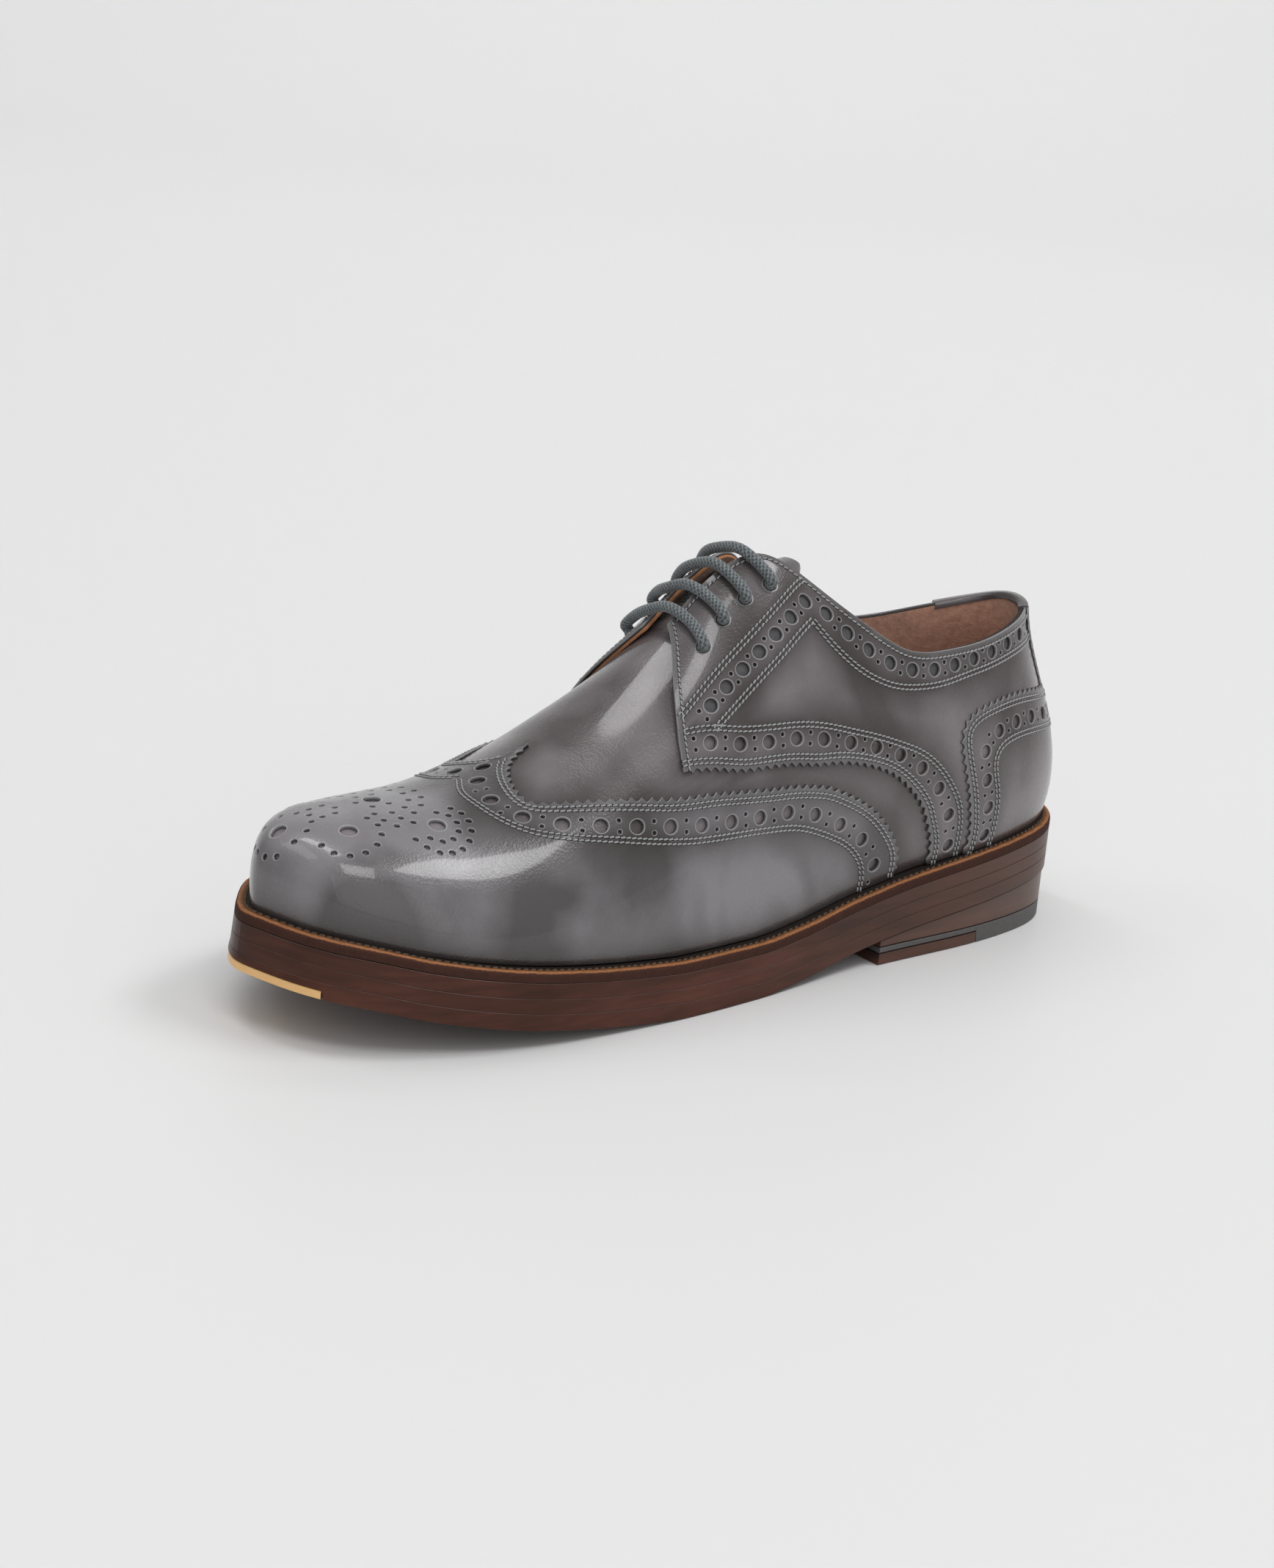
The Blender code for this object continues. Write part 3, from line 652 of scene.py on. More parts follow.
class Cut:
    """Piece of leather cut to an outline on a surface, with punched holes, as a closed solid."""

    bevel = 0.28
    stretch = 1.12
    tooth_shape = (-0.5, 0.15, 0.5, 0.15)
    level_enough = 0.8
    # Painted highlight: how much lighter the leather is painted just inside a cut edge, on it and down a hole, but not
    # at the welt.
    bare_inside, bare_edge, bare_hole, bare_from = 0.2, 0.55, (0.6, 0.25, 0.0), 0.03
    # Share and width of the dark bands along edges, broad and fine, and its width over the welt: partly burnish,
    # partly painted shade.
    brushed, brushed_over_welt = ((0.64, 7.0), (0.32, 1.4)), 4.5

    def __init__(self, surface, low, high):
        self.surface, self.low, self.high = surface, low, high
        self.outline, self.inward, self.holes, self.dark = [], [], [], []

    def side(self, line, pinked=False, pitch=1.6):
        """Adds a stretch of the outline, with the leather on its left."""
        sizes = bpy.context.scene.shoe_sizes
        if pinked:
            steps = len(self.tooth_shape)
            places = self.surface.paced(line, sizes.tooth / steps)
            left = self.surface.along(places)[3]
            teeth = np.resize(np.array(self.tooth_shape), len(places)) * sizes.tooth_depth
            number = np.arange(len(teeth))
            teeth *= np.clip(np.minimum(number, number[::-1]) / steps, 0, 1)
            places = self.surface.slide(places, left * teeth[:, None])
            kept = np.r_[0, steps - 1:len(places) - steps + 1, len(places) - 1]
            places, left = places[kept], left[kept]
        else:
            places = self.surface.paced(line, pitch)
            left = self.surface.along(places)[3]
        self.outline.append(places[:-1])
        self.inward.append(left[:-1])
        self.dark.append(self.surface.point(*places.T))
        return self

    def rings(self, at, radius, sides, rim, rise):
        """Rings of points from the leather round a hole down to its bottom."""
        angle = np.linspace(0, 2 * math.pi, sides, endpoint=False)
        made = []
        steps = ((radius + rim, 0.0), (radius + 0.45 * rim, rise), (radius, 0.4 * rise - 0.06), (0.95 * radius, None))
        for wide, height in steps:
            points, normals, flat = at(wide * np.cos(angle), wide * np.sin(angle))
            lift = self.low if height is None else self.high + height
            made.append((points + normals * lift, normals, flat, points))
        return made

    def hole(self, place, radius, sides=8, rim=0.25, rise=0.0):
        """Punches a hole at a place of the surface."""
        surface, place = self.surface, np.asarray(place, float)
        normal = surface.normal(*place)
        near = np.array([surface.near, 0.0])
        ahead = unit(surface.point(*(place + near)) - surface.point(*(place - near)))
        left = np.cross(normal, ahead)

        def at(x, y):
            shift = ahead * (self.stretch * x[:, None]) + left * y[:, None]
            ring = surface.slide(np.broadcast_to(place, (len(x), 2)), shift)
            return surface.point(*ring.T), surface.normal(*ring.T), surface.flat(*ring.T)

        self.holes.append(self.rings(at, radius, sides, rim, rise))

    def plan_hole(self, plan, x, y, radius, sides=8, rim=0.25, rise=0.0):
        """Punches a hole at a place of the plan."""
        place, level = plan.place(x, y)
        if level > self.level_enough:
            self.holes.append(self.rings(lambda dx, dy: plan.at(x, y, dx, dy), radius, sides, rim, rise))
        else:
            self.hole(place, radius, sides, rim, rise)

    def build(self, name, looks, spacing=2.6, span=((-1, 1), (0, 1)), inner_look=0, shade=None):
        """Solid between the piece's low and high sides, with bevelled edges and open holes."""
        outline = np.concatenate(self.outline)
        inward = np.concatenate(self.inward)
        inward = unit(sum(np.roll(inward, k, axis=0) for k in (-2, -1, 0, 1, 2)))
        surface = self.surface
        inset = surface.slide(outline, inward * self.bevel)
        rim_points, rim_normals = surface.point(*inset.T), surface.normal(*inset.T)
        out_points, out_normals = surface.point(*outline.T), surface.normal(*outline.T)
        base, normals, flats = [rim_points], [rim_normals], [surface.flat(*inset.T)]
        loops = [np.arange(len(inset))]
        first = len(inset)
        self.holes = self.fitting(flats[0])
        for rings in self.holes:
            _, normal, flat, on = rings[0]
            base.append(on)
            normals.append(normal)
            flats.append(flat)
            loops.append(np.arange(first, first + len(on)))
            first += len(on)
        edges = [(int(a), int(b)) for loop in loops for a, b in zip(loop, np.roll(loop, -1))]
        grid, spots = self.inner_places(np.concatenate(flats), spacing, span)
        base.append(surface.point(*grid.T))
        normals.append(surface.normal(*grid.T))
        flats.append(spots)
        base, normals = np.concatenate(base), np.concatenate(normals)
        tops = self.triangles(name, np.concatenate(flats), edges)
        count = len(base)
        points = [base + normals * self.high, base + normals * self.low]
        customs = [normals, -normals]
        faces = list(tops) + [[i + count for i in reversed(face)] for face in tops]
        kinds = [0] * len(tops) + [inner_look] * len(tops)
        total = 2 * count
        size = len(outline)
        points += [out_points + out_normals * (self.high - self.bevel), out_points + out_normals * self.low]
        customs.append(np.zeros((2 * size, 3)))
        # Painted highlight on the cut edge: lighter just inside it and on it, but not at the welt.
        worn = (outline[:, 1] > self.bare_from) * 1.0
        inside, cut = self.bare_inside * worn, self.bare_edge * worn
        rims = [np.concatenate([inside, np.zeros(total - size), cut, np.zeros(size)])]
        bands = [loops[0], np.arange(total, total + size), np.arange(total + size, total + 2 * size), loops[0] + count]
        total += 2 * size
        for one, other in zip(bands, bands[1:]):
            faces += zip(one, other, np.roll(other, -1), np.roll(one, -1))
            kinds += [len(looks) - 1 if len(looks) > 2 else 0] * size
        for loop, rings in zip(loops[1:], self.holes):
            size = len(loop)
            bands = [loop]
            # Painted highlight on the hole's raised rim and down its wall, none at its bottom.
            for ring, bare in zip(rings[1:], self.bare_hole):
                points.append(ring[0])
                rims.append(np.full(size, bare))
                customs.append(np.zeros((size, 3)))
                bands.append(np.arange(total, total + size))
                total += size
            bands.append(loop + count)
            for one, other in zip(bands, bands[1:]):
                faces += zip(one, np.roll(one, -1), np.roll(other, -1), other)
                kinds += [0] * size
        points = np.concatenate(points)
        piece = add_piece(name, points, faces, looks, kinds, np.concatenate(customs))
        # Numbers for the materials: burnish with painted shade, and painted highlight on the rims.
        add_number(piece, "burnish", self.burnish(points, shade))
        add_number(piece, "rim", np.concatenate(rims))
        return piece

    def inner_places(self, taken, spacing, span):
        """Places inside the piece about one spacing apart, and where they lie on the flat leather."""
        (u0, u1), (v0, v1) = span
        grid_u, grid_v = np.meshgrid(np.arange(u0, u1, spacing / WALL_LENGTH),
                                     np.linspace(v0, v1, int(WALL_HEIGHT / spacing)))
        grid = np.stack([grid_u.ravel(), grid_v.ravel()], -1)
        spots = self.surface.flat(*grid.T)
        keep = self.clear(taken, spots, spacing)
        return grid[keep], spots[keep]

    def triangles(self, name, flats, edges):
        """Triangles between the points of the flat leather, inside the outline and outside the holes."""
        found = delaunay_2d_cdt([Vector(flat) for flat in flats], edges, [], 0, 1e-5, True)
        walls = {tuple(sorted(pair)) for pair, ids in zip(found[1], found[4]) if ids}
        origin = [ids[0] if ids else -1 for ids in found[3]]
        kept = [[origin[i] for i in face] for face in within(found[2], walls)]
        if any(-1 in face for face in kept):
            spots = [tuple(round(c, 1) for c in at) for at, ids in zip(found[0], found[3]) if not ids]
            raise RuntimeError(f"{name}: outlines cross at {spots}")
        return kept

    def fitting(self, outline, spare=0.1):
        """Holes that clear the outline and the holes punched before them."""
        fitting = []
        for rings in self.holes:
            flat = rings[0][2]
            middle = flat.mean(0)
            size = np.linalg.norm(flat - middle, axis=1).max() + spare
            clear_of_edge = np.linalg.norm(outline - middle, axis=1).min() > size
            if clear_of_edge and all(apart(flat, other[0][2]) for other in fitting):
                fitting.append(rings)
        return fitting

    def clear(self, taken, spots, spacing, from_edge=0.45, from_others=0.8):
        """Which of the inner points stay clear of the edges and of one another."""
        tree = tree_of([(*spot, 0.0) for spot in taken])
        cells, keep = set(), []
        for i, spot in enumerate(spots):
            cell = tuple(np.floor(spot / (from_others * spacing)).astype(int))
            if cell in cells or tree.find((*spot, 0.0))[2] < from_edge * spacing:
                continue
            cells.add(cell)
            keep.append(i)
        return keep

    def burnish(self, points, shade):
        """How dark the leather is painted, partly burnish and partly painted shade: near its cut edges and where it
        meets the welt.
        """
        tree = tree_of(np.concatenate(self.dark + list(shade or [])))
        near = np.array([tree.find(point)[2] for point in points])
        over_welt = points[:, 2] - UNDER(points[:, 0]) - WELT_TOP
        dark = sum(share * np.exp(-((near / wide) ** 2)) for share, wide in self.brushed)
        return np.maximum(dark, np.exp(-((over_welt / self.brushed_over_welt) ** 2)))


class Plan:
    """The toe's top seen from above: gives points of the surface over x and y."""

    toe = np.linspace(-1.3, -0.7, 240), np.linspace(0.3, 1.0, 130)
    steepest = 0.15
    fitted = 14

    def __init__(self, surface):
        u, v = (axis.ravel() for axis in np.meshgrid(*self.toe))
        up = surface.normal(u, v)[:, 2]
        u, v, self.up = (values[up > self.steepest] for values in (u, v, up))
        self.places = np.stack([u, v], -1)
        self.points = surface.point(u, v)
        self.flats = surface.flat(u, v)
        self.tree = tree_of([(x, y, 0.0) for x, y, _ in self.points])

    def place(self, x, y):
        """Place of the surface over a point, and how level the leather is there."""
        near = self.tree.find((x, y, 0.0))[1]
        return self.places[near], self.up[near]

    def fit(self, x, y):
        """Height, slope and flat place over one point of the plan."""
        near = [found[1] for found in self.tree.find_n((x, y, 0.0), self.fitted)]
        around = self.points[near]
        rows = np.stack([np.ones(len(near)), around[:, 0] - x, around[:, 1] - y], -1)
        values = np.column_stack([around[:, 2], self.flats[near]])
        answer = np.linalg.lstsq(rows, values, rcond=None)[0]
        return (x, y, answer[0, 0]), unit(np.array([-answer[1, 0], -answer[2, 0], 1.0])), answer[0, 1:]

    def at(self, x, y, dx, dy):
        """Ring of points round a place, round on the sloping leather itself."""
        normal = self.fit(x, y)[1]
        ahead = unit(np.cross(np.array([0.0, 1.0, 0.0]), normal))
        left = np.cross(normal, ahead)
        found = [self.fit(x + a * ahead[0] + b * left[0], y + a * ahead[1] + b * left[1]) for a, b in zip(dx, dy)]
        return tuple(np.array(column) for column in zip(*found))


def hole_row(cut, line, first, last, count=None, pair_step=1.7, end=1.5):
    """Large holes along a line, from a distance to its start to one from its end, with small pairs between them."""
    sizes = bpy.context.scene.shoe_sizes
    surface = cut.surface
    for places in both_sides(line):
        points, _, _, left = surface.along(places)
        way = length_along(points)
        gaps = count - 1 if count else int(round((way[-1] - last - first) / sizes.hole_pitch))
        marks = np.linspace(first, way[-1] - last, gaps + 1)
        pitch = marks[1] - marks[0]
        for mark in marks:
            cut.hole(at_marks(mark, way, places), sizes.large_hole, sides=16, rim=0.45, rise=0.15)
        for mark in np.append(marks - pitch / 2, marks[-1] + pitch / 2):
            if end < mark < way[-1] - end:
                place, across = at_marks(mark, way, places), at_marks(mark, way, left)
                for step in (pair_step, -pair_step):
                    spot = surface.slide(place[None], across[None] * step)[0]
                    cut.hole(spot, sizes.small_hole, sides=8, rim=0.3, rise=0.08)


class Value:
    """Number on a shader socket; sums and products of it add Math nodes."""

    def __init__(self, look, socket):
        self.look, self.socket = look, socket

    def math(self, operation, *inputs):
        return self.look.node("ShaderNodeMath", {"operation": operation}, dict(enumerate(inputs)))

    def __add__(self, other):
        return self.math("ADD", self, other)

    def __radd__(self, other):
        return self.math("ADD", other, self)

    def __sub__(self, other):
        return self.math("SUBTRACT", self, other)

    def __mul__(self, other):
        return self.math("MULTIPLY", self, other)

    def held(self, low, high):
        return self.math("MINIMUM", self.math("MAXIMUM", self, low), high)


class Look:
    """A material and its nodes."""

    def __init__(self, name, **constants):
        self.material = bpy.data.materials.new(name)
        self.material.use_nodes = True
        self.tree = self.material.node_tree
        self.shader = self.tree.nodes["Principled BSDF"]
        for socket, value in constants.items():
            self.shader.inputs[socket.replace("_", " ").title().replace("Ior", "IOR")].default_value = value

    def node(self, kind, settings=None, inputs=None, out=0):
        """Any node: its settings first, then the values or links of its sockets."""
        made = self.tree.nodes.new(kind)
        for name, value in (settings or {}).items():
            if name == "stops":
                ramp = made.color_ramp
                while len(ramp.elements) < len(value):
                    ramp.elements.new(0.5)
                for element, (position, colour) in zip(ramp.elements, value):
                    element.position = position
                    element.color = (*colour, 1.0) if isinstance(colour, tuple) else (colour,) * 3 + (1.0,)
            else:
                setattr(made, name, value)
        for socket, value in (inputs or {}).items():
            if isinstance(value, Value):
                self.tree.links.new(value.socket, made.inputs[socket])
            else:
                made.inputs[socket].default_value = value
        return Value(self, made.outputs[out])

    def coords(self):
        return self.node("ShaderNodeTexCoord", out="Object")

    def scaled(self, vector, scale):
        return self.node("ShaderNodeMapping", {}, {"Vector": vector, "Scale": scale})

    def noise(self, vector, scale, detail=3.0, roughness=0.5, distortion=0.0):
        settings = {"Vector": vector, "Scale": scale, "Detail": detail, "Roughness": roughness}
        return self.node("ShaderNodeTexNoise", {}, {**settings, "Distortion": distortion})

    def ramp(self, value, *stops):
        return self.node("ShaderNodeValToRGB", {"stops": stops}, {0: value})

    def mix(self, share, one, other, blend="MIX"):
        settings = {"data_type": "RGBA", "blend_type": blend}
        one = (*one, 1.0) if isinstance(one, (tuple, list)) else one
        other = (*other, 1.0) if isinstance(other, (tuple, list)) else other
        return self.node("ShaderNodeMix", settings, {0: share, 6: one, 7: other}, out=2)

    def number(self, name):
        return self.node("ShaderNodeAttribute", {"attribute_name": name}, out="Fac")

    def bump(self, height, distance, strength=1.0, normal=None):
        inputs = {"Height": height, "Distance": distance, "Strength": strength}
        if normal:
            inputs["Normal"] = normal
        return self.node("ShaderNodeBump", {}, inputs)

    def wear(self, **links):
        """Links values to the shader's sockets."""
        for socket, value in links.items():
            self.tree.links.new(value.socket, self.shader.inputs[socket.replace("_", " ").title()])
        return self.material


def colours():
    return bpy.context.scene.shoe_colours


def tinted(colour, *shares):
    """Colour with each channel multiplied, by one share for all or by one share each."""
    return tuple(min(1.0, c * s) for c, s in zip(colour, shares * 3 if len(shares) == 1 else shares))


def polished_leather(name, lightness=1.0, warm=0.0):
    """Burnished grey leather: soft clouds, dark edges of burnish and painted shade, painted highlight on cut edges and
    hole rims, fine grain and a wax shine.
    """
    look = Look(name, coat_weight=0.5, coat_roughness=0.07, specular_ior_level=0.4)
    place = look.coords()
    clouds = look.noise(look.scaled(place, (1.0, 1.0, 0.6)), 34.0, 1.2, 0.5, 0.5)
    smudge = look.noise(place, 140.0, 3.0, 0.55)
    tint = (lightness + warm, lightness - 0.4 * warm, lightness - 0.4 * warm)
    dark, light = (tinted(colour, *tint) for colour in (colours().burnish, colours().leather))
    middle = tuple(0.72 * d + 0.28 * c for d, c in zip(dark, light))
    tone = look.ramp(clouds * 0.88 + smudge * 0.12, (0.37, middle), (0.63, light))
    # Burnish and painted shade along edges, seams and the welt, from the vertex number.
    worn = look.mix((look.number("burnish") * (0.7 + smudge * 0.5)).held(0.0, 1.0), tone, dark)
    # Painted highlight: cut edges and hole rims turned light grey by the rim number.
    rubbed = look.mix((look.number("rim") * 0.85).held(0.0, 1.0), worn, (0.46, 0.46, 0.47))
    pores = look.node("ShaderNodeTexVoronoi", {"feature": "F1"}, {"Vector": place, "Scale": 1300.0}, out="Distance")
    grain = look.noise(place, 700.0, 2.0, 0.6)
    bump = look.bump(grain * 0.6 + pores * 0.5, 0.00012, 0.7)
    bump = look.bump(look.noise(place, 70.0, 2.0, 0.5), 0.0004, 0.3, bump)
    return look.wear(base_color=rubbed, roughness=0.2 + smudge * 0.14, normal=bump)


def suede(name, tint=1.0):
    """Brushed suede with a soft nap."""
    look = Look(name, roughness=0.95, sheen_weight=0.25, sheen_roughness=0.5, specular_ior_level=0.15)
    place = look.coords()
    nap = look.noise(place, 420.0, 5.0, 0.7)
    patches = look.noise(place, 55.0, 3.0, 0.6)
    base = tinted(colours().suede, tint)
    tone = look.mix(look.ramp(nap * 0.6 + patches * 0.4, (0.3, 0.0), (0.7, 1.0)),
                    tinted(base, 0.62), tinted(base, 1.3))
    return look.wear(base_color=tone, normal=look.bump(nap, 0.0005, 0.8))


def raw_facing_edge(name):
    """Cut edge of the lining: raw along the facings, inked dark round the collar."""
    look = Look(name, roughness=0.85, specular_ior_level=0.2)
    place = look.coords()
    fibres = look.noise(place, 500.0, 4.0, 0.7)
    along = look.node("ShaderNodeSeparateXYZ", {}, {0: place})
    raw = look.mix(fibres, (0.22, 0.09, 0.04), (0.62, 0.31, 0.16))
    inked = look.ramp((along + 0.042) * 100.0, (0.2, 0.0), (0.8, 1.0))
    return look.wear(base_color=look.mix(inked, (0.035, 0.03, 0.029), raw), normal=look.bump(fibres, 0.0004, 0.8))


def plain_backing(name):
    """Dark leather behind the punched holes."""
    look = Look(name, roughness=0.8, specular_ior_level=0.3)
    grain = look.noise(look.coords(), 700.0, 2.0)
    return look.wear(base_color=look.mix(grain, (0.06, 0.06, 0.063), (0.12, 0.12, 0.125)),
                     normal=look.bump(grain, 0.0002, 0.5))


def tube_faces(count, size, closed=False):
    """Faces round rings of equally many points, capped at the ends unless they close on themselves."""
    faces = []
    for k in range(count if closed else count - 1):
        for i in range(size):
            j, n = (i + 1) % size, (k + 1) % count
            faces.append((k * size + i, k * size + j, n * size + j, n * size + i))
    if not closed:
        faces += [tuple(range(size - 1, -1, -1)), tuple(range((count - 1) * size, count * size))]
    return faces


def channels(name, rows, half, look, proud=0.035, deep=0.3):
    """Painted shade of the grooves that the stitches are pulled into: each a dark flat strip let into the leather."""
    corners = ((half, proud), (-half, proud), (-half, -deep), (half, -deep))
    points, faces, start = [], [], 0
    for middle, left, normal in rows:
        rings = np.stack([middle + left * side + normal * high for side, high in corners], 1)
        faces += [tuple(start + i for i in face) for face in tube_faces(len(rings), len(corners))]
        start += len(rings) * len(corners)
        points.append(rings)
    return add_piece(name, np.concatenate(points).reshape(-1, 3), faces, [look])


def stitches(name, places, length, radius, slant, look, sides=5):
    """Joined stitches: each lies on the leather and dips into it at both ends."""
    middle, ahead, normal, left = (np.concatenate(column) for column in zip(*places))
    ahead, left = ahead * math.cos(slant) + left * math.sin(slant), left * math.cos(slant) - ahead * math.sin(slant)
    stations = ((-0.5, 0.6, -0.6), (-0.36, 1.0, 0.25), (0.36, 1.0, 0.25), (0.5, 0.6, -0.6))
    points = []
    for along, wide, high in stations:
        for angle in np.linspace(0, 2 * math.pi, sides, endpoint=False):
            points.append(middle + ahead * along * length + left * wide * radius * math.cos(angle)
                          + normal * (high + wide * math.sin(angle)) * radius)
    points = np.stack(points, 1)
    faces = tube_faces(len(stations), sides)
    ring = len(stations) * sides
    every = [tuple(i + n * ring for i in face) for n in range(len(points)) for face in faces]
    return add_piece(name, points.reshape(-1, 3), every, [look])


def sides_at(x, side):
    """Places along one side of the edge where it passes x."""
    u = np.linspace(0, 1, 2001)
    return side * np.interp(x, EDGE(side * u)[:, 0], u)


def lean(x, height):
    """How far the sole's edge has stepped in at a height over the underside."""
    return LEAN * np.interp(x, LEAN_OVER_X, (0, 1)) * height / WELT_TOP


def slab(name, x_first, x_last, low, high, look, inset=0.0, soft=0.35, steps=170, levels=(0.0, 0.0)):
    """Layer of the sole between two x with softened edges; low and high are heights over x."""
    rings, sides, seams = [], [], []
    for side in (1, -1):
        first, final = sides_at(np.array([x_first, x_last]), side)
        sides.append(edge(np.linspace(first, final, steps)))
    for (plan, out), (far_plan, far_out) in zip(zip(*sides[0]), zip(*sides[1])):
        ring = []
        for point, away, order in ((plan, out, (0, 1, 2, 3)), (far_plan, far_out, (3, 2, 1, 0))):
            steps_in = [inset + lean(point[0], level) for level in levels]
            corners = ((steps_in[0] + soft, low, 0), (steps_in[0], low, soft),
                       (steps_in[1], high, -soft), (steps_in[1] + soft, high, 0))
            for k in order:
                step, height, lift = corners[k]
                x, y = point - away * step
                ring.append((x, y, height(x) + lift))
                seams.append((0.0, 0.0, 0.0, 1.0)[k])
        rings.append(ring)
    return loft(name, rings, look, sharp=30, numbers={"seam": seams})


def loft(name, rings, look, closed=False, sharp=50, numbers=None):
    """Solid through rings of equally many points, capped at its ends unless it closes on itself."""
    rings = np.array(rings, float)
    piece = add_piece(name, rings.reshape(-1, 3), tube_faces(*rings.shape[:2], closed), [look], sharp=sharp)
    for number, values in (numbers or {}).items():
        add_number(piece, number, values)
    tidy(piece)
    return piece


def tidy(piece):
    """Merges doubled points and turns the faces outwards."""
    bpy.ops.object.select_all(action="DESELECT")
    bpy.context.view_layer.objects.active = piece
    piece.select_set(True)
    bpy.ops.object.mode_set(mode="EDIT")
    bpy.ops.mesh.select_all(action="SELECT")
    bpy.ops.mesh.remove_doubles(threshold=0.000005)
    bpy.ops.mesh.normals_make_consistent(inside=False)
    bpy.ops.object.mode_set(mode="OBJECT")
    piece.select_set(False)


def over_underside(height):
    return lambda x: float(UNDER(x)) + height


def level(height):
    return lambda x: height


def waxed_edge(name, tint, roughness=0.3, shine=0.14):
    """Dark waxed edge of a leather layer with streaks along it."""
    look = Look(name, coat_weight=0.6 * shine, coat_roughness=0.12, specular_ior_level=shine)
    place = look.coords()
    streaks = look.noise(look.scaled(place, (0.1, 0.1, 1.0)), 420.0, 4.0, 0.6)
    patches = look.noise(look.scaled(place, (0.35, 0.35, 1.0)), 50.0, 3.0, 0.6)
    tone = look.ramp(streaks * 0.4 + patches * 0.6, (0.34, tinted(tint, 0.55)), (0.5, tint), (0.7, tinted(tint, 1.7)))
    along = look.node("ShaderNodeSeparateXYZ", {}, {0: place})
    joint = look.ramp((along + 0.06) * 20.0, (0.2, (0.01, 0.008, 0.008)), (0.8, (0.15, 0.12, 0.11)))
    tone = look.mix(look.ramp((along + 0.12) * 8.0, (0.0, 0.45), (1.0, 0.0)), tone, (0.12, 0.08, 0.065))
    tone = look.mix((look.number("seam") * (0.25 + patches * 0.9)).held(0.0, 0.85), tone, joint)
    return look.wear(base_color=tone, roughness=roughness + patches * 0.15, normal=look.bump(streaks, 0.00006, 0.4))


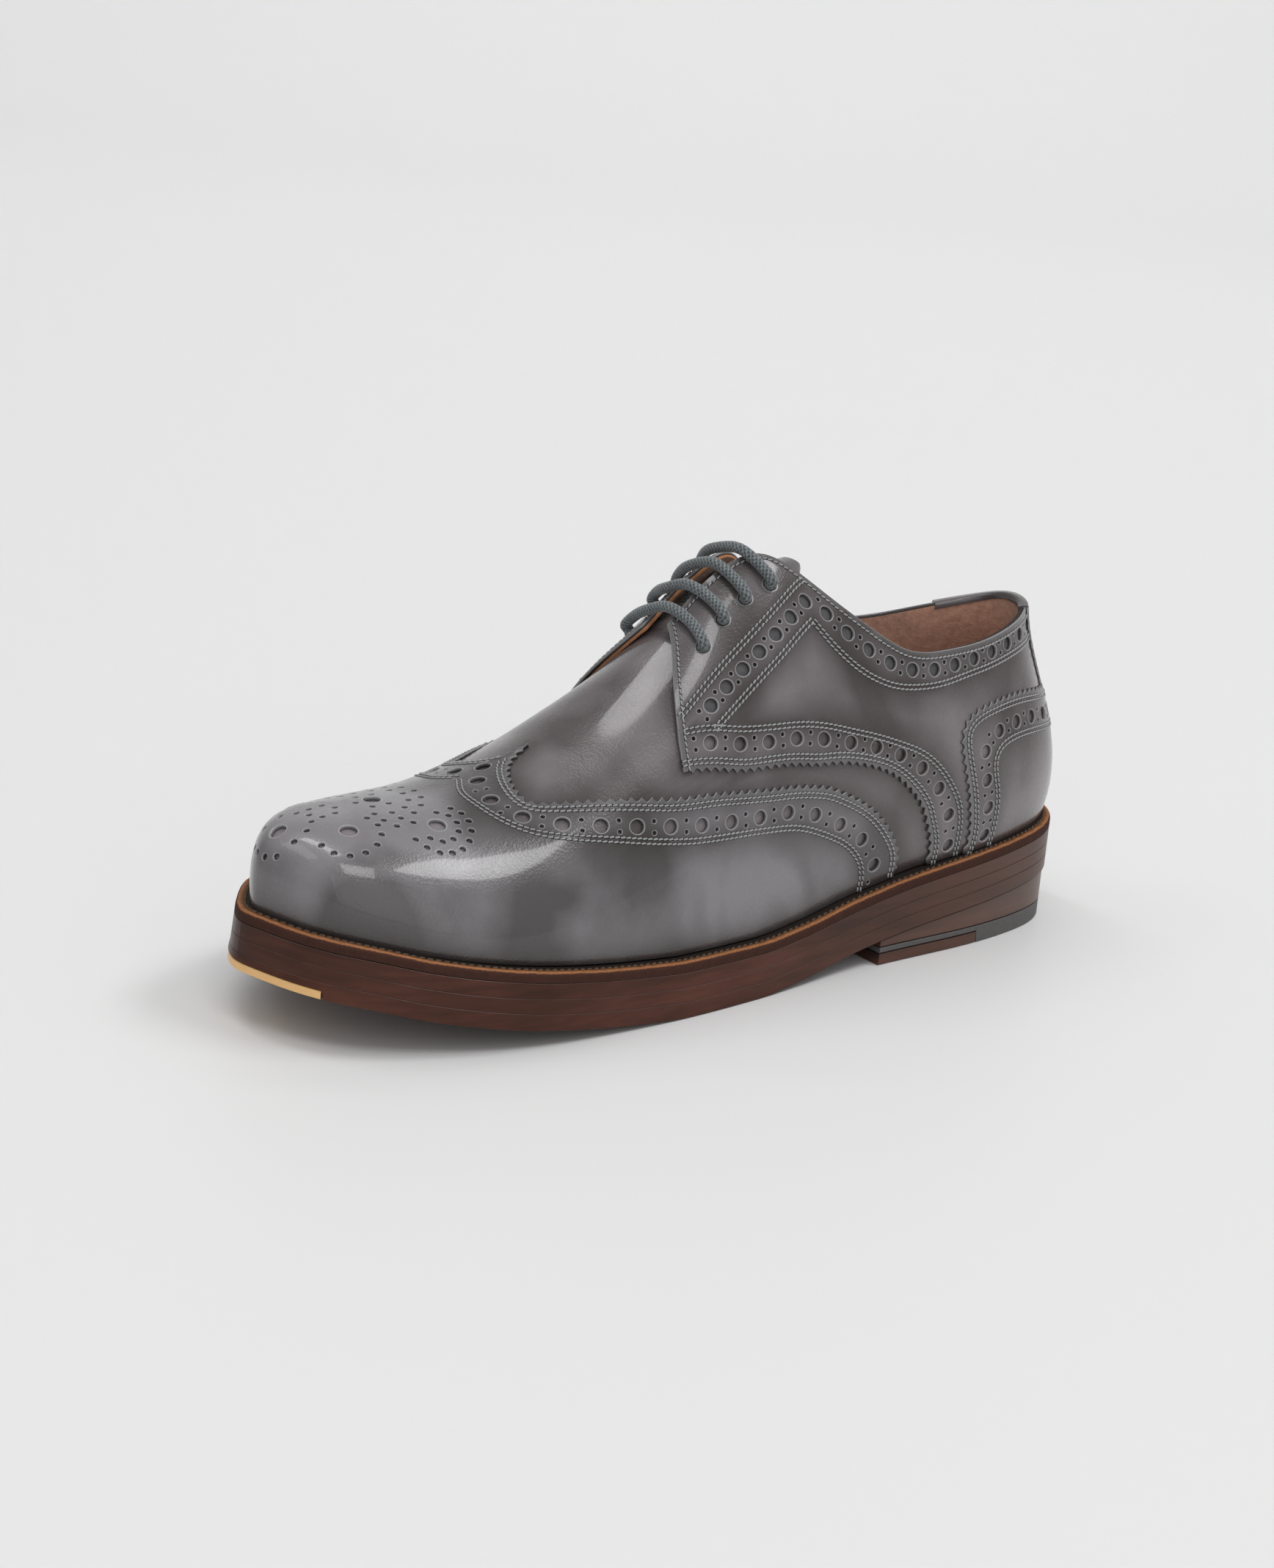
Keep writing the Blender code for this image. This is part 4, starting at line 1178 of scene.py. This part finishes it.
class SHOE_OT_upper(Operator):
    """Vamp, wing cap, quarters, counter and back strip, with their pinked edges and punched holes."""

    bl_idname = "shoe.upper"
    bl_label = "Leather of the upper"

    quarter_span = ((-0.66, 0.66), (0, 1))

    def execute(self, context):
        sizes = context.scene.shoe_sizes
        leather = polished_leather("burnished_leather", 1.0, 0.05)
        top = level_line(-FACING_FRONT[-1][0], FACING_FRONT[-1][0], 1, 500)
        self.vamp(sizes, leather)
        self.wing(sizes)
        self.quarters(sizes, leather, top)
        self.counter(sizes, leather)
        self.back_strip(leather)
        self.strip_fold(sizes, leather)
        self.lining(sizes, top)
        return {"FINISHED"}

    def vamp(self, sizes, leather):
        """Vamp with its lining, under the wing cap and the quarters."""
        vamp = Cut(VAMP, -sizes.leather - sizes.lining, -sizes.leather - LAYER_GAP)
        vamp.side(around_toe(VAMP_BACK[0][0]))
        vamp.side(LINES["vamp_back"]).side(mirrored(LINES["vamp_back"][::-1]))
        shade = seams(QUARTER, "quarter_low", "facing_front") + seams(VAMP, "wing_edge")
        looks = [leather, suede("vamp_lining", 1.15)]
        piece = vamp.build("vamp", looks, spacing=2.3, inner_look=1, shade=shade)
        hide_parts("upper")

    def wing(self, sizes):
        """Wing cap with a row of holes along its edge and the medallion on the toe."""
        wing = Cut(VAMP, -sizes.leather, 0.0)
        wing.side(around_toe(WING_EDGE[-1][0]))
        wing.side(LINES["wing_edge"][::-1], True).side(mirrored(LINES["wing_edge"]), True)
        row = between(LINES["wing_edge"], LINES["wing_inner"], share=0.66)
        wing.hole((row[0, 0], 1.0), sizes.large_hole, sides=14, rim=0.5, rise=0.2)
        hole_row(wing, row, first=8.5, last=7.5, count=15)
        self.medallion(wing, large=1.2 * sizes.large_hole, small=1.55 * sizes.small_hole)
        looks = [polished_leather("cap_leather", 1.02)]
        wing.build("wing_cap", looks, spacing=2.6, shade=seams(VAMP, "wing_inner"))

    def medallion(self, wing, large, small):
        """Large holes on the toe, with rows of small ones round them on both sides of the middle."""
        plan = Plan(VAMP)
        for x, y in MEDALLION_LARGE:
            for side in (1, -1) if y else (1,):
                wing.plan_hole(plan, x, side * y, large, sides=16, rim=0.5, rise=0.1)
        for x, y, radius, start, end, count in MEDALLION_ROWS:
            for angle in np.radians(np.linspace(start, end, count)):
                dx, dy = radius * math.cos(angle), radius * math.sin(angle)
                on_middle = y + dy <= 0.5
                for side in (1,) if on_middle else (1, -1):
                    wing.plan_hole(plan, x + dx, side * (y + dy), small, sides=9)

    def quarters(self, sizes, leather, top):
        """Both quarters with their facings and collar, joined at the back."""
        quarter = Cut(QUARTER, -sizes.leather, 0.0)
        quarter.side(around_heel(QUARTER_LOW[-1][0])).side(mirrored(LINES["quarter_low"][::-1]), True)
        quarter.side(mirrored(LINES["facing_front"])).side(top)
        quarter.side(LINES["facing_front"][::-1]).side(LINES["quarter_low"], True)
        low_row = between(LINES["quarter_low"], LINES["quarter_inner"], share=0.64)
        hole_row(quarter, low_row, first=9.0, last=5.0, count=12)
        facing_row = between(LINES["facing_left"], LINES["facing_right"], share=0.5)
        hole_row(quarter, facing_row, first=7.0, last=2.0, count=7)
        collar_top = np.stack([LINES["collar_low"][:, 0], np.ones(len(LINES["collar_low"]))], -1)
        hole_row(quarter, between(collar_top, LINES["collar_low"], share=0.52), first=9.0, last=5.0)
        for place, down, _ in EYELETS:
            for u in (place, -place):
                spot = (u, QUARTER.down_from_top(u, down))
                quarter.hole(spot, sizes.lace + 0.3, sides=16, rim=0.5, rise=-0.1)
        shade = seams(QUARTER, "quarter_inner", "facing_left", "facing_right", "collar_low")
        piece = quarter.build("quarters", [leather], spacing=2.8, span=self.quarter_span, shade=shade)

    def counter(self, sizes, leather):
        """Counter over the heel, on the quarters."""
        counter = Cut(QUARTER, OVERLAY_GAP, 1.0)
        counter.side(around_heel(COUNTER_EDGE[-1][0]))
        counter.side(mirrored(LINES["counter_edge"][::-1]), True).side(LINES["counter_edge"], True)
        row = between(LINES["counter_edge"], LINES["counter_inner"], share=0.66)
        counter.hole((0.0, row[0, 1]), sizes.large_hole, sides=14, rim=0.5, rise=0.2)
        hole_row(counter, row, first=sizes.hole_pitch, last=5.0)
        span, shade = ((-0.3, 0.3), (0, 1)), seams(QUARTER, "counter_inner")
        counter.build("heel_counter", [leather], spacing=2.6, span=span, shade=shade)

    def back_strip(self, leather):
        """Pinked strip over the back seam, from the counter to the collar."""
        (high, _), (low, low_end) = STRIP_EDGE[0], STRIP_EDGE[-1]
        strip = Cut(QUARTER, OVERLAY_GAP, 0.8)
        strip.side(level_line(low, -low, low_end, 60)).side(mirrored(LINES["strip_edge"][::-1]), True)
        strip.side(level_line(-high, high, 1, 60)).side(LINES["strip_edge"], True)
        piece = strip.build("back_strip", [leather], spacing=2.4, span=((-0.12, 0.12), (0.5, 1)))

    def strip_fold(self, sizes, leather, steps=44, burnish=0.55):
        """Top of the back strip, folded over the collar and down its inside."""
        inside = -sizes.leather - sizes.lining - 0.4
        half = STRIP_EDGE[0][0]
        rings = []
        for u in np.linspace(-1.55 * half, 0.95 * half, steps):
            brow = QUARTER.point(u, 1.0)
            outer, inner = (QUARTER.point(u, QUARTER.down_from_top(u, down)) for down in (3.0, 1.6))
            away, rise = QUARTER.normal(u, 0.99), unit(brow - outer)
            rings.append([outer + away * 0.6, brow + away * 0.7 + rise * 0.2, brow + away * 0.4 + rise * 0.5,
                          brow + rise * 0.6 + away * (0.5 * inside), brow + away * (inside + 0.4) + rise * 0.4,
                          brow + away * inside, inner + away * inside, inner - away * sizes.leather])
        count = steps * len(rings[0])
        numbers = {"burnish": np.full(count, burnish), "rim": np.zeros(count)}
        loft("strip_fold", rings, leather, sharp=70, numbers=numbers)

    def lining(self, sizes, top):
        """Lining of the quarters, with suede inside and a raw edge along the facings."""
        lining = Cut(QUARTER, -sizes.leather - sizes.lining, -sizes.leather - LAYER_GAP)
        lining.side(around_heel(LINING_FRONT[0][0])).side(mirrored(LINES["lining_front"]))
        lining.side(top).side(LINES["lining_front"][::-1])
        looks = [plain_backing("backing_leather"), suede("suede_lining"), raw_facing_edge("raw_edge")]
        piece = lining.build("lining", looks, spacing=3.0, span=self.quarter_span, inner_look=1)


class SHOE_OT_stitches(Operator):
    """Rows of stitches on the upper, each stitch a short bent cylinder of thread."""

    bl_idname = "shoe.stitches"
    bl_label = "Stitches"

    from_pinked_edge = 1.8
    from_plain_edge = 2.0
    counter_lift = 1.0
    highest = 0.992
    slant = 0.18
    groove_half = 0.38

    def execute(self, context):
        sizes = context.scene.shoe_sizes
        places, grooves = [], []
        for surface, line, offset, lift in self.rows(sizes.row_gap):
            for side, line_here in zip((1, -1), both_sides(line)):
                spots = surface.paced(line_here, sizes.stitch_pitch, offset * side)
                spots = spots[spots[:, 1] < self.highest]
                points, ahead, normal, left = surface.along(spots)
                grooves.append((points + normal * lift, left, normal))
                middle = (points[:-1] + points[1:]) / 2 + normal[:-1] * lift
                places.append((middle, ahead[:-1], normal[:-1], left[:-1]))
        thread = Look("thread", roughness=0.6, sheen_weight=0.2)
        fibre = thread.noise(thread.coords(), 1600.0, 2.0)
        tone = colours().thread
        look = thread.wear(base_color=thread.mix(fibre, tinted(tone, 0.55), tinted(tone, 1.25)))
        piece = stitches("upper_stitches", places, sizes.stitch, sizes.thread, self.slant, look)
        # Painted shade: near-black strips stand in for the shade in the stitch grooves.
        shade = Look("stitch_groove", roughness=0.7, specular_ior_level=0.2)
        shade.shader.inputs["Base Color"].default_value = (0.018, 0.016, 0.016, 1.0)
        channels("stitch_grooves", grooves, self.groove_half, shade.material)
        return {"FINISHED"}

    def rows(self, gap):
        """Rows of the outer side: surface, line, offset to its left and lift over the surface."""
        rows = []
        for offset in (self.from_pinked_edge, self.from_pinked_edge + gap):
            rows += [(VAMP, LINES["wing_edge"][::-1], offset, 0.0), (QUARTER, LINES["quarter_low"], offset, 0.0)]
            rows += [(QUARTER, LINES["counter_edge"], offset, self.counter_lift)]
        for offset in (-gap / 2, gap / 2):
            rows += [(VAMP, LINES["wing_inner"], offset, 0.0), (QUARTER, LINES["quarter_inner"], offset, 0.0)]
            rows += [(QUARTER, LINES["counter_inner"], offset, self.counter_lift)]
            rows += [(QUARTER, LINES[name], offset, 0.0) for name in ("collar_low", "facing_left", "facing_right")]
        rows += [(QUARTER, LINES["facing_front"][::-1], self.from_plain_edge, 0.0)]
        rows += [(QUARTER, level_line(0.62, 0.0, 1, 300), -self.from_plain_edge, 0.0)]
        return rows


class SHOE_OT_sole(Operator):
    """Welt, midsoles, outsole, toe plate, insole and heel with softened edges."""

    bl_idname = "shoe.sole"
    bl_label = "Sole and heel"

    def execute(self, context):
        tint = tuple(colours().sole)
        brown = waxed_edge("sole_edge", tint)
        # The heel's edge is the sole's wax painted lighter, a painted reflection, and given more shine.
        heel = waxed_edge("heel_edge", tinted(tint, 1.15, 1.3, 1.35), shine=0.25)
        toe_x = TABLE["x"][-1]
        layers = (
            ("midsole_upper_layer", "midsole_upper", UPPER_BOTTOM, MIDSOLE_UPPER),
            ("midsole_lower_layer", "midsole_lower", LOWER_BOTTOM, MIDSOLE_LOWER),
        )
        for name, node, base, thick in layers:
            piece = slab(name, 0, toe_x, over_underside(base - SWELL), over_underside(base + thick + SWELL), brown,
                         soft=LAYER_ROUND, levels=(base, base + thick))
            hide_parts(node)

        def tread(x):
            return float(UNDER(x)) + (TOE_PLATE + GAP if x > TOE_PLATE_X - GAP else 0.0)

        piece = slab("outsole_layer", 0, toe_x, tread, over_underside(OUTSOLE + SWELL), brown, soft=LAYER_ROUND,
                     steps=420, levels=(0.0, OUTSOLE))
        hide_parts("outsole")
        brass = Look("toe_plate_brass", metallic=0.3)
        brushed = brass.noise(brass.scaled(brass.coords(), (1.0, 0.05, 1.0)), 900.0, 3.0)
        tone = tuple(colours().brass)
        shade = brass.mix(brushed, tinted(tone, 0.8), tone)
        metal = brass.wear(base_color=shade, roughness=0.3 + brushed * 0.2)
        piece = slab("toe_plate_metal", TOE_PLATE_X, toe_x, over_underside(0), over_underside(TOE_PLATE), metal,
                     soft=0.2, levels=(0.0, TOE_PLATE))
        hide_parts("toe_plate")

        piece = slab("heel_lifts", 0, BREAST_X, level(TOP_LIFT + GAP), over_underside(-GAP), heel, HEEL_INSET,
                     soft=0.25)
        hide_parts("heel_stack")
        piece = slab("heel_top_leather", RUBBER_END_X + GAP, BREAST_X, level(0),
                     level(TOP_LIFT - RUBBER_LAYER - GAP), brown, HEEL_INSET, soft=0.25, steps=60)
        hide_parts("top_lift_leather")
        rubber = Look("heel_rubber", roughness=0.55, specular_ior_level=0.4)
        speck = rubber.noise(rubber.coords(), 900.0, 3.0)
        black = rubber.wear(base_color=rubber.mix(speck, (0.05, 0.048, 0.047), (0.11, 0.106, 0.104)),
                            normal=rubber.bump(speck, 0.0002, 0.4))

        def rubber_low(x):
            return 0.0 if x <= RUBBER_END_X else TOP_LIFT - RUBBER_LAYER

        piece = slab("heel_top_rubber", 0, BREAST_X, rubber_low, level(TOP_LIFT), black, HEEL_INSET,
                     soft=0.2, steps=300)
        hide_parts("top_lift_rubber")

        self.welt()
        self.insole()
        return {"FINISHED"}

    def welt(self):
        """Ring with a rounded outer edge, wheel marks and a raw top, coloured with a painted highlight on its outer
        corner and painted shade under the upper's edge.
        """
        look = Look("raw_welt", roughness=0.75, specular_ior_level=0.2)
        place = look.coords()
        fibres = look.noise(place, 420.0, 5.0, 0.7)
        patches = look.noise(place, 60.0, 3.0, 0.6)
        tone, wax = tuple(colours().welt), tuple(colours().sole)
        zone = look.number("zone") + (fibres - 0.5) * 0.16 + (patches - 0.5) * 0.1
        # Colour across the welt from its outer face in: waxed face; light tan on the rounded corner, a painted
        # highlight; tan top; from the stitch groove in, near black: painted shade under the upper's overhang, with
        # some dirt.
        shown = look.ramp(
            zone, (0.0, wax), (0.16, tinted(wax, 1.3)), (0.24, tinted(tone, 1.7)), (0.36, tone),
            (0.5, tinted(tone, 0.7)), (0.64, (0.035, 0.02, 0.013)), (1.0, (0.012, 0.009, 0.008)),
        )
        speckled = look.mix(fibres * 0.7, shown, (0.0, 0.0, 0.0))
        tan = look.wear(base_color=speckled, normal=look.bump(fibres, 0.0004, 0.8))
        around = np.linspace(-1, 1, 2200, endpoint=False)
        plan, out = edge(around)
        ledge = QUARTER.column["ledge"](np.abs(around)) + WELT_UNDER_WALL
        under = UNDER(plan[:, 0])
        mark_depth, points_per_mark = 0.12, 5
        marks = mark_depth * np.sin(np.arange(len(around)) * 2 * math.pi / points_per_mark)
        section = ((0.0, WELT_BOTTOM, 0, 0.0), (0.05, WELT_TOP - 1.2, 0.5, 0.05), (0.3, WELT_TOP - 0.55, 1, 0.15),
                   (0.75, WELT_TOP - 0.12, 0.7, 0.26), (1.2, WELT_TOP, 0.3, 0.32), (2.1, WELT_TOP, 0, 0.45),
                   (2.4, WELT_TOP - 0.3, 0, 0.62), (2.9, WELT_TOP - 0.1, 0, 0.7), (3.6, WELT_TOP, 0, 0.9),
                   (None, WELT_TOP, 0, 1.0), (None, WELT_BOTTOM, 0, 1.0))
        rings, zones = [], []
        for inset, height, mark, shade in section:
            step = ledge if inset is None else inset + mark * marks + lean(plan[:, 0], height)
            flat = plan - out * step[:, None]
            rings.append(np.column_stack([flat, under + height]))
            zones.append(np.full(len(around), shade))
        piece = loft("welt_ring", np.stack(rings, 1), tan, closed=True, sharp=70,
                     numbers={"zone": np.stack(zones, 1).ravel()})
        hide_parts("welt")
        self.welt_stitches()

    def welt_stitches(self, count=280, from_edge=2.5, sunk=0.1):
        """Row of stitches along the welt's top."""
        plan, out = edge(np.linspace(-1, 1, count, endpoint=False))
        flat = plan - out * (from_edge + lean(plan[:, 0], WELT_TOP))[:, None]
        points = np.column_stack([flat, UNDER(plan[:, 0]) + WELT_TOP - sunk])
        ahead = unit(np.roll(points, -1, axis=0) - points)
        left = np.column_stack([out, np.zeros(len(out))])
        normal = unit(np.cross(ahead, left))
        normal = np.where(normal[:, 2:] < 0, -normal, normal)
        cord = Look("welt_thread", roughness=0.8, specular_ior_level=0.2)
        fibre = cord.noise(cord.coords(), 1200.0, 2.0)
        thread = cord.wear(base_color=cord.mix(fibre, (0.02, 0.012, 0.008), (0.17, 0.10, 0.06)))
        places = [(points, ahead, normal, left)]
        piece = stitches("welt_stitches", places, length=1.8, radius=0.36, slant=0.25, look=thread, sides=6)

    def insole(self, dish=0.9, sunk=0.8):
        """Sock of the insole, inside the welt."""
        rings, inside = [], []
        for side in (1, -1):
            places = np.linspace(0, side, 150)
            plan, out = edge(places)
            step = QUARTER.column["ledge"](np.abs(places)) + WELT_UNDER_WALL + GAP
            inside.append(plan - out * step[:, None])
        for lateral, medial in zip(*inside):
            across = np.linspace(0, 1, 12)[:, None]
            over = lateral * (1 - across) + medial * across
            rim = dish * (2 * across[:, 0] - 1) ** 2
            high = [(x, y, float(UNDER(x)) + WELT_BOTTOM + INSOLE - sunk + r) for (x, y), r in zip(over, rim)]
            low = [(x, y, float(UNDER(x)) + WELT_BOTTOM) for x, y in (medial, lateral)]
            rings.append(high + low)
        piece = loft("insole_sock", rings, suede("insole_leather", 1.1))
        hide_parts("insole")


class SHOE_OT_lace(Operator):
    """Tongue, and one braided lace in four bars through the eyelets."""

    bl_idname = "shoe.lace"
    bl_label = "Tongue and lace"

    step = 0.42
    easing_rounds = 12
    points_around = 28
    strands, turn = 6, 9.0

    def execute(self, context):
        sizes = context.scene.shoe_sizes
        self.tongue()
        route = self.route(sizes.lace)
        stops = np.arange(len(route))
        smooth = cubic(stops, route)(np.linspace(0, stops[-1], 60 * len(route)))
        way = length_along(smooth)
        steps = int(way[-1] / self.step)
        marks = np.linspace(0, way[-1], steps)
        path = at_marks(marks, way, smooth)
        for _ in range(self.easing_rounds):
            path[1:-1] = path[1:-1] / 2 + (path[:-2] + path[2:]) / 4
        ahead = unit(np.gradient(path, axis=0))
        side = np.zeros_like(path)
        start = np.cross(ahead[0], UPWARD)
        for k in range(steps):
            start = unit(start - ahead[k] * start.dot(ahead[k]))
            side[k] = start
        up = np.cross(ahead, side)
        angle = np.linspace(0, 2 * math.pi, self.points_around, endpoint=False)
        phase = marks[:, None] * 2 * math.pi / self.turn
        one = np.cos(self.strands * angle[None] + self.strands * phase)
        other = np.cos(self.strands * angle[None] - self.strands * phase)
        weave = np.maximum(one, other)
        radius = sizes.lace * (0.92 + 0.08 * weave)
        points = path[:, None] + radius[..., None] * (
            side[:, None] * np.cos(angle)[None, :, None] + up[:, None] * np.sin(angle)[None, :, None])
        cord = Look("braided_cord", roughness=0.7, sheen_weight=0.3, specular_ior_level=0.35)
        tone = tuple(colours().lace)
        fibre = cord.noise(cord.coords(), 1300.0, 3.0)
        # Braid colour from the strands' height: painted shade between the strands and painted highlight on their
        # crowns, mixed with fibre noise.
        shade = cord.ramp(cord.number("weave") * 0.8 + fibre * 0.3, (0.3, tinted(tone, 0.3)), (0.7, tone),
                          (1.0, tinted(tone, 2.6)))
        look = cord.wear(base_color=shade, normal=cord.bump(fibre, 0.0002, 0.5))
        piece = loft("braided_lace", points, look, sharp=None, numbers={"weave": weave.ravel() * 0.5 + 0.5})
        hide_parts("lace")
        return {"FINISHED"}

    def route(self, radius):
        """Points of the lace: bars over the throat, and runs inside the facings between them."""
        depth, clear, over_edge, crown_high = 4.3, radius + 0.7, radius + 0.5, 0.9
        route = []
        for row, side in LACE_STOPS:
            place, down, crossing = EYELETS[row]
            spot = (side * place, QUARTER.down_from_top(side * place, down))
            centre, normal = QUARTER.point(*spot), QUARTER.normal(*spot)
            hole = [centre - normal * depth, centre, centre + normal * clear]
            middle = side * (place + crossing) / 2
            half = QUARTER.point(middle, QUARTER.down_from_top(middle, down / 2))
            brims = [QUARTER.point(u, 1.0) + over_edge * unit(QUARTER.normal(u, 0.99) + UPWARD)
                     for u in (side * crossing, -side * crossing)]
            crown = (brims[0] + brims[1]) / 2 + crown_high * UPWARD
            rise = hole + [half + normal * clear, brims[0]]
            first_of_bar = LACE_STOPS.index((row, side)) % 2 == 0
            route += rise + [crown] if first_of_bar else rise[::-1]
        return np.array(route)

    def tongue(self):
        """Strip of leather under the facings with rounded edges."""
        crown = pchip(*zip(*((-x, z) for x, z, half in TONGUE)))
        width = pchip(*zip(*((-x, half) for x, z, half in TONGUE)))
        rings = []
        for x in np.linspace(TONGUE[0][0], TONGUE[-1][0], 90):
            half = width(-x)
            over = []
            for t in np.linspace(-1, 1, 25):
                thin = TONGUE_THICK / 2 * math.sqrt(max(0.0, 1 - abs(t) ** 8))
                over.append((x, half * t, crown(-x) - TONGUE_CURVE * (half * t) ** 2 - TONGUE_THICK / 2 + thin))
            under = [(x, y, crown(-x) - TONGUE_CURVE * y * y - TONGUE_THICK) for x, y, _ in over[::-1]]
            rings.append(over + under)
        piece = loft("tongue_leather", rings, polished_leather("tongue_finish", 1.15), sharp=60)
        for number in ("burnish", "rim"):
            add_number(piece, number, np.zeros(len(piece.data.vertices)))
        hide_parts("tongue")


class SHOE_OT_stage(Operator):
    """Camera, pale floor running up into a backdrop, and soft boxes."""

    bl_idname = "shoe.stage"
    bl_label = "Camera, floor and light"

    def execute(self, context):
        stage = context.scene.shoe_stage
        towards = np.array([math.sin(stage.turn) * math.cos(stage.rise), math.cos(stage.turn) * math.cos(stage.rise),
                            math.sin(stage.rise)])
        right = np.array([-math.cos(stage.turn), math.sin(stage.turn), 0.0])
        up = np.cross(towards, right)
        eye = to_frame(CAMERA_AIM) + stage.distance * towards + CAMERA_SHIFT[0] * right + CAMERA_SHIFT[1] * up
        turned = math.cos(stage.roll) * right + math.sin(stage.roll) * up
        upright = -math.sin(stage.roll) * right + math.cos(stage.roll) * up
        bpy.ops.object.camera_add(location=eye)
        camera = context.object
        camera.matrix_world = Matrix.Translation(eye) @ Matrix(np.stack([turned, upright, towards], -1)).to_4x4()
        camera.data.lens = stage.lens
        camera.data.sensor_width = 36.0
        context.scene.camera = camera
        self.floor(context, towards)
        shoe = Vector((0.0, 0.0, 0.05))
        backdrop = shoe + Vector(-unit(towards * (1, 1, 0))) * 4.2 + Vector((0, 0, 0.6))
        for name, behind, turn, rise, away, wide, high, power, roll in SOFT_BOXES:
            turn, rise = math.radians(turn), math.radians(rise)
            way = Vector((math.cos(turn) * math.cos(rise), math.sin(turn) * math.cos(rise), math.sin(rise)))
            bpy.ops.object.light_add(type="AREA", location=(backdrop if behind else shoe) + way * away)
            light = context.object
            light.name = name
            rolled = Quaternion((0.0, 0.0, 1.0), math.radians(roll))
            light.rotation_euler = (way.to_track_quat("Z", "Y") @ rolled).to_euler()
            light.visible_glossy = not behind
            light.data.shape = "RECTANGLE"
            light.data.size, light.data.size_y, light.data.energy = wide, high, power
        world = bpy.data.worlds.new("studio")
        context.scene.world = world
        world.use_nodes = True
        background = world.node_tree.nodes["Background"]
        background.inputs["Color"].default_value = (1.0, 1.0, 1.0, 1.0)
        background.inputs["Strength"].default_value = WORLD_LIGHT
        context.scene.view_settings.view_transform = "Standard"
        return {"FINISHED"}

    def floor(self, context, towards, front=6.0, bend_from=2.4, bend=2.2, top=7.0, half=7, under=0.0002):
        """Floor drawn up behind the shoe into a backdrop in one sweep."""
        bpy.ops.object.select_all(action="DESELECT")
        across = unit(np.cross(towards * (1, 1, 0), UPWARD))
        back = -unit(towards * (1, 1, 0))
        angle = np.radians(np.linspace(0, 90, 25))
        run = np.concatenate([[-front], bend_from + bend * np.sin(angle), [bend_from + bend]])
        rise = np.concatenate([[0.0], bend * (1 - np.cos(angle)), [top]])
        points = [back * r + across * side + UPWARD * (h - under) for r, h in zip(run, rise) for side in (-half, half)]
        faces = [(2 * k, 2 * k + 1, 2 * k + 3, 2 * k + 2) for k in range(len(run) - 1)]
        mesh = bpy.data.meshes.new("floor")
        mesh.from_pydata([tuple(point) for point in points], [], faces)
        mesh.shade_smooth()
        floor = bpy.data.objects.new("floor", mesh)
        context.scene.collection.objects.link(floor)
        look = Look("pale_floor", roughness=0.5, specular_ior_level=0.25)
        look.shader.inputs["Base Color"].default_value = (*context.scene.shoe_stage.floor, 1.0)
        mesh.materials.append(look.material)


class SHOE_PT_pieces(Panel):
    """Lists the shoe's pieces and its sizes and colours."""

    bl_label = "Full brogue derby"
    bl_idname = "SHOE_PT_pieces"
    bl_space_type = "VIEW_3D"
    bl_region_type = "UI"
    bl_category = "Shoe"

    def draw(self, context):
        for operator in OPERATORS:
            self.layout.operator(operator.bl_idname)
        for settings in (context.scene.shoe_sizes, context.scene.shoe_colours, context.scene.shoe_stage):
            for name in settings.__annotations__:
                self.layout.prop(settings, name)


OPERATORS = (SHOE_OT_upper, SHOE_OT_stitches, SHOE_OT_lace, SHOE_OT_sole, SHOE_OT_stage)
CLASSES = (ShoeSizes, ShoeColours, ShoeStage, *OPERATORS, SHOE_PT_pieces)


def register():
    for cls in CLASSES:
        bpy.utils.register_class(cls)
    bpy.types.Scene.shoe_sizes = PointerProperty(type=ShoeSizes)
    bpy.types.Scene.shoe_colours = PointerProperty(type=ShoeColours)
    bpy.types.Scene.shoe_stage = PointerProperty(type=ShoeStage)


def unregister():
    for name in ("shoe_sizes", "shoe_colours", "shoe_stage"):
        delattr(bpy.types.Scene, name)
    for cls in reversed(CLASSES):
        bpy.utils.unregister_class(cls)


def main():
    register()
    bpy.ops.shoe.upper()
    bpy.ops.shoe.stitches()
    bpy.ops.shoe.lace()
    bpy.ops.shoe.sole()
    bpy.ops.shoe.stage()


if __name__ == "__main__":
    main()
